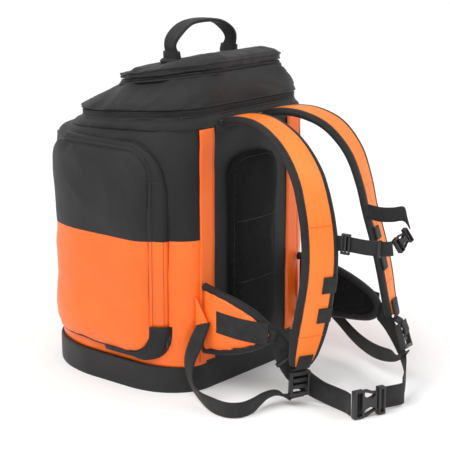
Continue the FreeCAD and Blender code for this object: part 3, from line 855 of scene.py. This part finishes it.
# ================================================================ harness
def metres(route):
    """A route in mm, with its directions and widths, in metres."""
    return [(x * MM, y * MM, z * MM, *rest[:3], rest[3] * MM) for x, y, z, *rest in route]


# Routes in this section are listed points, in mm.  The straps': x, y, z, turn in degrees.
STRAP_RIGHT = [
    (52, 167, 441, 0), (54, 202, 450, 0), (58, 250, 446, 3), (66, 300, 422, 9),
    (75, 340, 382, 15), (82, 363, 334, 20), (87, 376, 284, 24), (90, 379, 232, 26),
    (90, 371, 180, 26), (88, 360, 132, 25), (85, 348, 92, 24), (84, 341, 72, 24),
]
STRAP_LEFT = [
    (-52, 167, 441, 0), (-54, 204, 451, 0), (-59, 248, 450, 2), (-66, 292, 433, 6),
    (-73, 326, 395, 12), (-79, 344, 346, 16), (-83, 355, 298, 18), (-86, 371, 246, 18),
    (-87, 384, 198, 18), (-87, 393, 156, 18), (-87, 400, 126, 16),
]
# A strap's width in mm and thickness in m, the widths near its ends by station, and each
# lock's top, bottom and turn.
STRAP_WIDTH, STRAP_THICK = 65, 0.013
TAPER = {0: 66, -1: 40, -2: 56}
LOCKS = {"right": ((84, 340, 60), (84, 338, 18), 24), "left": ((-87, 418, 114), (-86, 433, 75), 16)}
# Section of a strap: padding below, a binding rolled round each edge, orange cloth on top.
STRAP_SECTION = [(-0.72, 0.5), (-0.4, 0.55), (0, 0.56), (0.4, 0.55), (0.72, 0.5), (0.9, 0.4),
                 (1, 0.1), (1, -0.1), (0.9, -0.46), (0.74, -0.56), (0.72, -0.45), (0.4, -0.53),
                 (0, -0.56), (-0.4, -0.53), (-0.72, -0.45), (-0.74, -0.56), (-0.9, -0.46),
                 (-1, -0.1), (-1, 0.1), (-0.9, 0.4)]
ORANGE_SPANS = range(10, 14)


def paint_spans(obj, section, spans, index):
    """Gives the faces over some spans of a strip's section another material."""
    count = len(section)
    for i, polygon in enumerate(obj.data.polygons):
        if len(polygon.vertices) == 4 and i % count in spans:
            polygon.material_index = index


def turned(turn, side):
    angle = math.radians(turn)
    return math.cos(angle), -side * math.sin(angle), 0


def strap_stations(route):
    out = []
    for i, (x, y, z, turn) in enumerate(route):
        side = math.copysign(1, x)
        width = TAPER.get(i, TAPER.get(i - len(route), STRAP_WIDTH))
        out.append((x, y, z, *turned(turn, side), width))
    return metres(out)


# Along a strap, as shares of its length: the cross seams, and the tabs on the inner edge.
CROSS_SEAMS = (0.52, 0.84)
STRAP_TABS = ((0.645, 0.69), (0.735, 0.78))
TAB_ACROSS, TAB_LIFT, TAB_WIDE = 0.52, 0.0086, 0.024
STRAP_LIFT = 0.0076


def strap_trim(name, side, strap, dense):
    """The stitching, the cross seams and the tabs of a strap."""
    body = "strap_" + name
    count = len(dense)
    frames = frames_along(dense)

    def on_strap(share, across_at):
        centre, across, normal, wide = frames[int(share * (count - 1))]
        return centre + across * (across_at * wide / 2) - normal * STRAP_LIFT
    shares = [i / 80 for i in range(4, 77)]
    for k, across_at in enumerate((-0.66, 0.66)):
        line = [on_strap(t, across_at) for t in shares]
        sew(f"strap_edge_seam_{k}_{name}", line, FINE_STITCH, BLACK_THREAD, body, strap)
    line = [on_strap(t, -0.12 * side) for t in shares[38:66]]
    sew("strap_middle_seam_" + name, line, LONG_STITCH, ORANGE_THREAD, body, strap, 0.0003)
    for k, share in enumerate(CROSS_SEAMS):
        line = on_surface(strap, [on_strap(share, -0.7 + 0.1 * i) for i in range(15)], 0.0002)
        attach(tube(f"strap_cross_seam_{k}_{name}", line, 0.0006, ORANGE), body)
    for k, (start, end) in enumerate(STRAP_TABS):
        flat = []
        for centre, across, normal, wide in frames_along(dense[int(start * count):int(end * count) + 1]):
            spot = centre - across * (TAB_ACROSS * side * wide / 2) - normal * TAB_LIFT
            flat.append((*spot, *across, TAB_WIDE))
        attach(strip(f"strap_tab_{k}_{name}", flat, 0.0016, [WEB], per_span=3), body)


def strap_end(name, side, route):
    """The webbing from a strap's foot to its lock, with a crossed pair of stitch lines."""
    body = "strap_" + name
    top, _, turn = LOCKS[name]
    top = Vector(top)
    across = Vector(turned(turn, side))
    out = Vector((side * math.sin(math.radians(turn)), math.cos(math.radians(turn)), 0))
    up = Vector((0, 0, 1))
    last, before = Vector(route[-1][:3]), Vector(route[-2][:3])
    lifted = out * 9.5
    spots = [before * 0.9 + last * 0.1 + lifted, before * 0.5 + last * 0.5 + lifted,
             last + lifted, last + out * 6 - up * 5, top + up * 3, top - up * 3]
    band = strip("strap_end_webbing_" + name, metres([(*p, *across, 25) for p in spots]), 0.002,
                 [WEB], per_span=4)
    finish_piece(band, body, "strap_webbing_" + name)
    for k, flip in enumerate((-1, 1)):
        a = (spots[0] - up * 3 + out * 1.4 - across * 9 * flip) * MM
        b = (spots[1] + out * 1.4 + across * 9 * flip) * MM
        sew(f"strap_cross_stitch_{k}_{name}", [a, b], CROSS_STITCH, BLACK_THREAD, body)


def shoulder_straps():
    for (name, side), route in zip(SIDES, (STRAP_RIGHT, STRAP_LEFT)):
        dense = smooth_path(strap_stations(route), 8)
        rippled = []
        for i, station in enumerate(dense):
            pull = 1 + 0.025 * noise.noise(Vector((side, i * 0.35, 0)))
            rippled.append((*station[:6], station[6] * pull))
        strap = strip("strap_" + name, rippled, STRAP_THICK, [MESH, STRAP_ORANGE], STRAP_SECTION,
                      per_span=1)
        paint_spans(strap, STRAP_SECTION, ORANGE_SPANS, 1)
        # The first slot, on the padded mesh of the strap's inner side and on the bindings, takes the black
        # cloth; the binding that shows is black.
        strap.data.materials[0] = BLACK
        subdivided(strap)
        finish_piece(strap, "strap_" + name, "strap_pad_" + name, padded=0.6)
        strap_trim(name, side, strap, dense)
        strap_end(name, side, route)


# Webbing: x, y, z and the direction across it.  Wings: x, y, and z of both edges.
ADJUSTER_RIGHT = [
    (146, 190, 124, -0.3, 0.9, 0.3), (158, 185, 95, -0.4, 0.85, 0), (172, 182, 62, 0.1, 0.9, 0.2),
    (182, 194, 34, 0.6, 0.8, 0.6), (190, 220, 18, 0.4, 0, 1), (197, 254, 13.5, 0, 0, 1),
    (198, 282, 13.5, 0, 0, 1), (184, 299, 13.5, 0, 0, 1), (158, 302, 13.5, 0, 0, 1),
    (130, 299, 16, 0, 0.3, 1), (108, 304, 19, 0, 0.7, 0.7), (92, 318, 13, 0.6, 1, 0),
    (85, 336, 15, 1, -0.4, 0),
]
ADJUSTER_LEFT = [
    (-146, 190, 124, 0, 0.6, 1), (-158, 206, 100, 0, 0.3, 1), (-164, 236, 72, 0, 0, 1),
    (-158, 274, 48, 0, 0, 1), (-144, 312, 38, 0, 0, 1), (-126, 350, 38, 0, 0, 1),
    (-108, 388, 45, 0.3, 0, 1), (-94, 415, 54, 1, 0, 0.4), (-88, 429, 66, 1, 0, 0),
]
WING_RIGHT = [
    (127, 177, 68, 184), (131, 212, 74, 178), (129, 246, 82, 170), (122, 274, 92, 156),
    (114, 294, 104, 138), (110, 302, 112, 128),
]
WING_LEFT = [
    (-127, 177, 68, 184), (-134, 215, 76, 178), (-136, 255, 82, 170), (-134, 295, 86, 158),
    (-131, 327, 92, 144), (-129, 342, 102, 132),
]
BELT_RIGHT = [
    (108, 305, 118, 0, 0, 1), (97, 316, 88, -0.45, 0.45, 0.77), (78, 325, 54, -0.45, 0.4, 0.75),
    (60, 342, 32, -0.2, 0.2, 1), (55, 366, 22, 0, 0, 1), (57, 390, 19.5, 0, 0, 1),
    (63, 415, 19.5, 0, 0, 1), (72, 430.5, 20.5, 0, 0, 1),
]
BELT_LEFT = [
    (-129, 345, 114, 0, 0, 1), (-127, 368, 96, 0, 0.1, 1), (-116, 398, 66, 0, 0, 1),
    (-92, 427, 42, 0, 0, 1), (-60, 447, 28, 0, 0, 1), (-38, 457, 23, 0, 0, 1),
    (-20, 468.5, 22.5, 0, 0, 1), (16, 454.5, 22.5, 0, 0, 1),
]
STERNUM_RIGHT = [
    (55, 395, 275, 0, 0, 1), (51, 412, 274, 0, 0, 1), (44, 436, 272, 0, 0, 1),
    (32, 458, 271, 0, 0.1, 1), (21.5, 468.5, 271.5, 0.2, 0, 1),
]
STERNUM_LEFT = [
    (-51, 371, 303, 0, 0, 1), (-46, 400, 303, 0, 0, 1), (-39, 428, 308, 0, 0, 1),
    (-33, 452, 314, 0.1, 0, 1), (-25, 466, 303, 0.5, 0, 1),
]
# Webbing between two bodies: node, route, width, both bodies, first and last station of the slack.
WEBBINGS = (("adjuster_webbing_right", ADJUSTER_RIGHT, 25, "root", "strap_right", 8, 12),
            ("adjuster_webbing_left", ADJUSTER_LEFT, 25, "root", "strap_left", 4, 8),
            ("hip_webbing_right", BELT_RIGHT, 36, "wing_right", "root", 0, 3),
            ("hip_webbing_left", BELT_LEFT[:5], 36, "wing_left", "root", 0, 3),
            ("hip_webbing_left", BELT_LEFT[4:], 36, "root", "hip_tongue", 0, 2),
            ("sternum_webbing_left", STERNUM_LEFT, 24, "strap_left", "sternum_tongue", 1, 4))


WEBBING_THICK = 0.0018


def webbings():
    """The webbing between two bodies, as bands left where they are built, and the right sternum webbing on
    its strap.
    """
    for k, (node, route, width, first, second, start, end) in enumerate(WEBBINGS):
        stations = metres([(*p, width) for p in route])
        band = strip(f"{node}_band_{k}", stations, WEBBING_THICK, [WEB])
        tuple(stations[start][:3])
        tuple(stations[end][:3])
        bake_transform(band)
        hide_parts(node)
    stations = metres([(*p, 24) for p in STERNUM_RIGHT])
    band = strip("sternum_webbing_right_band", stations, WEBBING_THICK, [WEB])
    finish_piece(band, "strap_right", "sternum_webbing_right")


WING_SECTION = flat_section((-1, -0.8, -0.4, 0, 0.4, 0.8, 1))
WING_THICK, WING_BINDING = 0.011, 0.0068
# The height of the belt on a wing, how far it drops to the tip, and its width, mm.
BELT_Z, BELT_DROP, BELT_WIDE = 130, 8.4, 36
CORNER_TAB = [(142.5, 171, 130, 70), (142.5, 184, 126, 36), (142.5, 195, 123, 8)]


def paint_outside(pad, stations, side):
    """Gives the faces on a wing's outer side the second material."""
    middle = {round(station[1], 3): station[0] for station in smooth_path(stations, 6)}
    keys = sorted(middle)
    for polygon in pad.data.polygons:
        near = min(keys, key=lambda y: abs(y - polygon.center.y))
        outward = (polygon.center.x - middle[near]) * side
        polygon.material_index = 1 if outward > 0.001 else 0


def wings():
    for (name, side), route in zip(SIDES, (WING_RIGHT, WING_LEFT)):
        body = "wing_" + name
        wide = metres([(x, y, (low + high) / 2, 0, 0, 1, high - low - 8) for x, y, low, high in route])
        pad = strip("wing_pad_" + name, wide, WING_THICK, [MESH, ORANGE], WING_SECTION)
        inflate(pad, 0.003)
        paint_outside(pad, wide, side)
        finish_piece(pad, body, "hip_wing_" + name, padded=0.6)
        upper = [Vector((x, y, high - 4)) * MM for x, y, _, high in route]
        lower = [Vector((x, y, low + 4)) * MM for x, y, low, _ in route]
        x, y, low, high = route[-1]
        tip = Vector((x - side * 1.5, y + 5, (low + high) / 2)) * MM
        contour = smooth_path([tuple(p) for p in upper + [tip] + lower[::-1]], 5)
        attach(tube("wing_binding_" + name, contour, WING_BINDING, BLACK, sides=12), body)
        # The belt webbing, sewn flat on the wing's outer face.
        x, y = route[1][:2]
        length = route[-1][1] - y
        band = [(px + side * 8.6, py, BELT_Z - BELT_DROP * (py - y) / length, 0, 0, 1, BELT_WIDE)
                for px, py, _, _ in route[1:]]
        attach(strip("wing_webbing_" + name, metres(band), 0.0022, [WEB]), body)
        x += side * 10.2
        for k, flip in enumerate((-1, 1)):
            a = Vector((x, y + 2, BELT_Z - 13 * flip)) * MM
            b = Vector((x - side * 0.6, y + 26, BELT_Z + 13 * flip)) * MM
            sew(f"wing_cross_stitch_{k}_{name}", [a, b], BAR_TACK, BLACK_THREAD, body)
        flat = metres([(side * px, py, pz, 0, 0, 1, width) for px, py, pz, width in CORNER_TAB])
        gusset = strip("corner_tab_" + name, flat, 0.003, [ORANGE])
        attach(gusset, "root")
        if side == 1:
            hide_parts("adjuster_tabs")


# ================================================================ moulded hardware
def moulding(name, boxes, place, bevel, body, *nodes, plates=(), material=PLASTIC):
    """Bevelled bars (x0, x1, y0, y1, z0, z1 in mm) in a local frame, as one piece, with
    plates given as (outline, z0, z1)."""
    form = bmesh.new()
    for contour, z0, z1 in plates:
        low = [form.verts.new((x, y, z0)) for x, y in contour]
        high = [form.verts.new((x, y, z1)) for x, y in contour]
        form.faces.new(low[::-1])
        form.faces.new(high)
        for i, a in enumerate(low):
            k = (i + 1) % len(low)
            form.faces.new((a, low[k], high[k], high[i]))
    for x0, x1, y0, y1, z0, z1 in boxes:
        for vertex in bmesh.ops.create_cube(form, size=1)["verts"]:
            c = vertex.co
            vertex.co = Vector(((x0 + x1) / 2 + c.x * (x1 - x0), (y0 + y1) / 2 + c.y * (y1 - y0),
                                (z0 + z1) / 2 + c.z * (z1 - z0)))
    bmesh.ops.bevel(form, geom=form.edges[:], offset=bevel, segments=3, affect="EDGES", profile=0.6)
    verts = [place(v.co) for v in form.verts]
    faces = [tuple(v.index for v in f.verts) for f in form.faces]
    form.free()
    finish_piece(piece(name, verts, faces, [material]), body, *nodes)


def local(centre, along, across, curve=0.0):
    """Maps a local point (mm) to the row frame, bowed along its length by curve."""
    x = Vector(along).normalized()
    y = Vector(across)
    y = (y - x * x.dot(y)).normalized()
    z = x.cross(y)
    c = Vector(centre)

    def place(p):
        return (c + x * p.x + y * p.y + z * (p.z + curve * p.x * p.x)) * MM
    return place


# A lock's rails and bars, and the webbing over them: distance along, height, mm.
LOCK_RAILS = [(0, 42, -18, -13.2, -5, 5), (0, 42, 13.2, 18, -5, 5)]
LOCK_BARS = [(0, 7, -14, 14, -4, 3), (12, 19, -14, 14, -2, 5.5), (23, 30, -14, 14, -2, 5.5),
             (35.5, 42, -14, 14, -5, 4)]
LOCK_WRAP = [(-3, -6.2), (6, -6.4), (15, -7), (22, -3)]


def ladder_locks():
    for name, side in SIDES:
        top, bottom, turn = LOCKS[name]
        place = local(top, Vector(bottom) - Vector(top), turned(turn, side))
        moulding("ladder_lock_body_" + name, LOCK_RAILS + LOCK_BARS, place, 1.9, "lock_" + name,
                 "ladder_lock_" + name)
        stations = []
        for along, high in LOCK_WRAP:
            spot = place(Vector((along, 0, -side * high)))
            stations.append((*spot, *turned(turn, side), 0.0245))
        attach(strip("lock_webbing_" + name, stations, WEBBING_THICK, [WEB], per_span=4), "lock_" + name)


# Outlines of a buckle's waisted housing and of one prong, in lengths and half widths.
HOUSING = [(-0.55, 0.8), (-0.42, 0.42), (-0.2, 0.3), (0.02, 0.42), (0.12, 0.78),
           (0.12, -0.78), (0.02, -0.42), (-0.2, -0.3), (-0.42, -0.42), (-0.55, -0.8)]
PRONG = [(0.24, 0.62), (0.1, 0.72), (-0.1, 0.82), (-0.3, 0.98), (-0.48, 0.98), (-0.5, 0.8),
         (-0.36, 0.76), (-0.12, 0.62), (0.08, 0.5), (0.24, 0.42)]
# Bars of both halves, as shares of the length, half width and half thickness.
HOUSING_BARS = [(-1, -0.86, -1, 1, -1, 1), (-0.62, -0.5, -1, 1, -1, 1),
                (-0.9, -0.56, -1, -0.84, -1, 1), (-0.9, -0.56, 0.84, 1, -1, 1),
                (-0.76, -0.7, -0.9, 0.9, -0.4, 0.5)]
FORK_BARS = [(0.2, 0.32, -1, 1, -1, 1), (0.45, 0.56, -1, 1, -1, 1),
             (0.22, 0.54, -1, -0.84, -1, 1), (0.22, 0.54, 0.84, 1, -1, 1)]


def buckle(name, centre, along, across, size, female_body, male_body):
    """A side-release buckle: a webbing bar at each end, a waisted housing, a fork with prongs."""
    place = local(centre, along, across)
    width, length, thick = size
    w, t = width / 2, thick / 2

    def scaled(bars):
        return [(x0 * length, x1 * length, y0 * w, y1 * w, z0 * t, z1 * t)
                for x0, x1, y0, y1, z0, z1 in bars]
    waist = [(x * length, y * w) for x, y in HOUSING]
    moulding(name + "_housing", scaled(HOUSING_BARS), place, thick * 0.16, female_body,
             name + "_female", plates=((waist, -t * 0.9, t * 0.95),))
    prongs = [([(x * length, side * y * w) for x, y in PRONG], -t * 0.55, t * 0.55)
              for side in (-1, 1)]
    moulding(name + "_fork", scaled(FORK_BARS), place, thick * 0.16, male_body, name + "_male",
             plates=prongs)


# Slide and keeper on the near end of the sternum strap: name, centre, length, width, mm.
SLIDES = (("tri_glide", (56, 396, 275), 15, 33), ("sternum_keeper", (36, 451, 271), 5, 28))
GLIDE_WEBBING = [(72, 377, 276, 0, 0, 1, 24), (64, 386, 275.6, 0, 0, 1, 24),
                 (60, 391, 275.3, 0, 0, 1, 24), (55, 402, 275, 0, 0, 1, 24)]
KEEPER_BARS = [(0, 5, -20, 20, -3.5, -1.6), (0, 5, -20, 20, 1.6, 3.5),
               (0, 5, -20, -17.6, -3.5, 3.5), (0, 5, 17.6, 20, -3.5, 3.5)]


def tri_glide():
    """The slide and the keepers on the webbing of the sternum strap and of the belt."""
    for name, centre, length, width in SLIDES:
        w = width / 2
        bars = [(0, 3, -w, w, -2, 4), (length - 3, length, -w, w, -2, 4),
                (0, length, -w, -w + 3, -2, 4), (0, length, w - 3, w, -2, 4)]
        if name == "tri_glide":
            bars.append((length / 2 - 1.5, length / 2 + 1.5, -w, w, -1, 5))
        moulding(name, bars, local(centre, (-4, 17, -1), (0, 0, 1)), 0.9, "strap_right")
    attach(strip("tri_glide_webbing", metres(GLIDE_WEBBING), 0.0032, [WEB]), "strap_right")
    place = local((93, 318, 80), (-0.5, 0.25, -0.8), (-0.45, 0.45, 0.77))
    moulding("belt_keeper", KEEPER_BARS, place, 0.5, "root")
    moulding("belt_keeper_cap", [(-0.6, 5.6, 16.5, 21.5, -4, 4)], place, 0.8, "root", material=STEEL)


# The front zips lie on the pockets' edge: the front wall, a gap, the pocket's depth, a gap.
ZIP_GAP, POCKET_DEPTH = 0.3, 12
FRONT_ZIP = BODY[6] - ZIP_GAP - POCKET_DEPTH - ZIP_GAP
# Y of a door's zip on the rear corner, and how far the slider stands off the wall, mm.
DOOR_ZIP_Y, DOOR_ZIP_LIFT = 136.5, 1.8


def rear_edge():
    """Where the right door's zip runs, on the rear corner of the body, and the way out, mm."""
    back, half, y_back, y_rear = BODY[:4]
    t = math.asin((DOOR_ZIP_Y - y_rear) / (y_back - y_rear))
    out = Vector((math.cos(t) / (half - back), math.sin(t) / (y_back - y_rear), 0)).normalized()
    return Vector((back + (half - back) * math.cos(t), DOOR_ZIP_Y, 0)) + out * DOOR_ZIP_LIFT, out


SLIDER_BOXES = [(-7, 7, -4.5, 4.5, 0.4, 2), (-6, 6, -3.6, 3.6, 2.2, 4), (-4, -2, -1.2, 1.2, 3.6, 5.6),
                (2, 4, -1.2, 1.2, 3.6, 5.6), (-4, 4, -1.2, 1.2, 5, 6)]
# A pull's moulded grip: distance past the cord and radius, mm; the doors' pulls are short.
GRIP_RINGS = ((-1, 1.6), (0, 2.5), (4, 2.7), (14, 3.0), (21, 3.1), (23.4, 2.4), (24.2, 1.0))
SHORT_GRIP_RINGS = ((-1, 1.2), (0, 1.8), (4, 2.0), (8, 2.0), (10, 1.6), (10.6, 0.7))
SHORT_CORD = 5
RIGHTWARDS, FORWARD, DOWN, UPWARD = (1, 0, 0), (0, -1, 0), (0, 0, -1), (0, 0, 1)
# Zips on the front and round the top: name, centre, the way along, out and the pull hangs,
# and the length of its cord, mm.
ZIPS = [("pocket_zip_a", (92, FRONT_ZIP, 258), RIGHTWARDS, FORWARD, DOWN, 34),
        ("pocket_zip_b", (72, FRONT_ZIP, 258), RIGHTWARDS, FORWARD, DOWN, 40),
        ("upper_zip", (90, FRONT_ZIP, 391), RIGHTWARDS, FORWARD, DOWN, 22),
        ("lid_zip", (40, -127.0, 442), RIGHTWARDS, (0, -1, 0.35), (0, -0.62, -0.78), 16),
        ("cap_zip", (36, -64.4, 489), RIGHTWARDS, (0, -1, 0.8), (0, -0.8, -0.6), 12)]


def zip_pull(name, start, h, n, cord):
    """A loop of cord that hangs along h off a slider that faces n, and its moulded grip."""
    side = h.cross(n) * 0.0016
    loop = []
    for i in range(9):
        loop.append(start + h * (cord * MM * i / 8) + side * math.sin(math.pi * i / 8))
    loop += [p - 2 * (p - start - h * (p - start).dot(h)) for p in loop[-2:0:-1]]
    pull = tube(name + "_pull_cord", loop, 0.0009, WEB, closed=True)
    finish_piece(pull, name + "_pull", name + "_pull")
    y = h.orthogonal().normalized()
    z = h.cross(y)
    loops = []
    for along, radius in SHORT_GRIP_RINGS if cord < SHORT_CORD else GRIP_RINGS:
        spot = start + h * ((cord + along) * MM)
        loops.append([spot + (y * math.cos(a) + z * math.sin(a)) * radius * MM
                      for a in (2 * math.pi * k / 14 for k in range(14))])
    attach(piece(name + "_grip", *tube_mesh(loops), [PLASTIC]), name + "_pull")


def zip_hardware():
    edge, out = rear_edge()
    doors = [("door_zip_" + name, (side * edge.x, edge.y, 92), UPWARD, (side * out.x, out.y, 0),
              DOWN, 2) for name, side in SIDES]
    for name, centre, along, n, hang, cord in ZIPS + doors:
        n, h = Vector(n).normalized(), Vector(hang).normalized()
        place = local(centre, along, n.cross(Vector(along)))
        moulding(name + "_slider_body", SLIDER_BOXES, place, 0.4, name + "_slider", name + "_slider")
        zip_pull(name, (Vector(centre) + n * 7.2 + h) * MM, h, n, cord)


def yoke_seams():
    """The upright seam over each rear corner of the yoke."""
    upper = outline(LID_RING, 460, 434, 1.2)
    lower = outline(YOKE, 438, 418, 0.8)
    corner = FLAT_STEPS + CORNER_STEPS // 2
    for name, side in SIDES:
        spot = corner if side == 1 else len(upper) - corner
        lift = Vector((side * 0.0012, 0.0012, 0))
        line = [lower[spot].lerp(upper[spot], i / 12) + lift for i in range(13)]
        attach(tube("yoke_seam_" + name, line, 0.0009, BLACK_THREAD), "root")


def anchor_seams():
    """Rows of bar tacks over the band that the straps are sewn under."""
    for k, z in enumerate((0.4485, 0.4445)):
        line = [(x * MM, 0.1768, z) for x in range(-88, 89, 4)]
        sew(f"anchor_seam_{k}", line, BAR_TACK, GREY_THREAD, "root")


shoulder_straps()
yoke_seams()
anchor_seams()
webbings()
wings()
ladder_locks()
# Sizes of a buckle: width, length and thickness, mm.
buckle("hip_buckle", (42.0, 453.0, 23.5), (-0.93, 0.367, 0.0), (0, 0, 1), (46, 38, 11), "root",
       "hip_tongue")
buckle("sternum_buckle", (-2.0, 474.0, 284.0), (-0.86, 0.10, 0.50), (0, -0.2, 1), (25, 22, 9),
       "strap_right", "sternum_tongue")
tri_glide()
zip_hardware()
for node, material in (("base_board", PLASTIC), ("boot_dividers", BLACK), ("boot_ceilings", BLACK),
                       ("front_zips", BLACK), ("door_zips", WEB), ("strap_anchor", WEB)):
    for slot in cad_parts[node].material_slots:
        slot.material = material


# ================================================================ floor, light, camera
FLOOR_SIZE, FLOOR_DROP = 40, 0.0005
WORLD_STRENGTH = 0.78
SUN_DEGREES, AREA_SIZE = 38, 0.9
LAMPS = (("sun", "SUN", (1.5, -0.5, 2.3), 1.25), ("key", "AREA", (1.9, 1.3, 2.2), 22),
         ("rim", "AREA", (-1.2, 1.6, 1.6), 9))
LAMP_TARGET = Vector((0, 0.1, 0.25))


def stage():
    bpy.ops.mesh.primitive_plane_add(size=FLOOR_SIZE, location=(0, 0, -FLOOR_DROP))
    floor = bpy.context.object
    floor.name = "floor"
    floor.data.materials.append(mottled("paper", ((0.93, 0.93, 0.93), (0.95, 0.95, 0.95)), 3,
                                        rough=0.9, specular=0.1))
    world = bpy.data.worlds.new("studio")
    world.use_nodes = True
    background = world.node_tree.nodes["Background"]
    background.inputs["Color"].default_value = (1, 1, 1, 1)
    background.inputs["Strength"].default_value = WORLD_STRENGTH
    bpy.context.scene.world = world
    for name, kind, place, power in LAMPS:
        lamp = bpy.data.lights.new(name, kind)
        lamp.energy = power
        if kind == "SUN":
            lamp.angle = math.radians(SUN_DEGREES)
        else:
            lamp.size = AREA_SIZE
        obj = add_object(name, lamp)
        obj.location = place
        obj.rotation_euler = (LAMP_TARGET - Vector(place)).to_track_quat("-Z", "Y").to_euler()


# The camera fitted to the photograph: place in m, lens in mm, turn and pitch in degrees.
CAMERA_PLACE = (1.7955, 1.6003, 0.8237)
CAMERA_LENS, CAMERA_SENSOR = 112, 36
CAMERA_TURN, CAMERA_PITCH = 129.61, 13.843


def camera():
    data = bpy.data.cameras.new("camera")
    data.lens = CAMERA_LENS
    data.sensor_width = CAMERA_SENSOR
    obj = add_object("camera", data)
    azimuth, pitch = math.radians(CAMERA_TURN), math.radians(CAMERA_PITCH)
    obj.location = CAMERA_PLACE
    flat = Vector((-math.sin(azimuth), math.cos(azimuth), 0))
    look = flat * math.cos(pitch) - Vector((0, 0, math.sin(pitch)))
    obj.rotation_euler = look.to_track_quat("-Z", "Y").to_euler()
    bpy.context.scene.camera = obj


stage()
camera()
bpy.context.scene.view_settings.view_transform = "Standard"
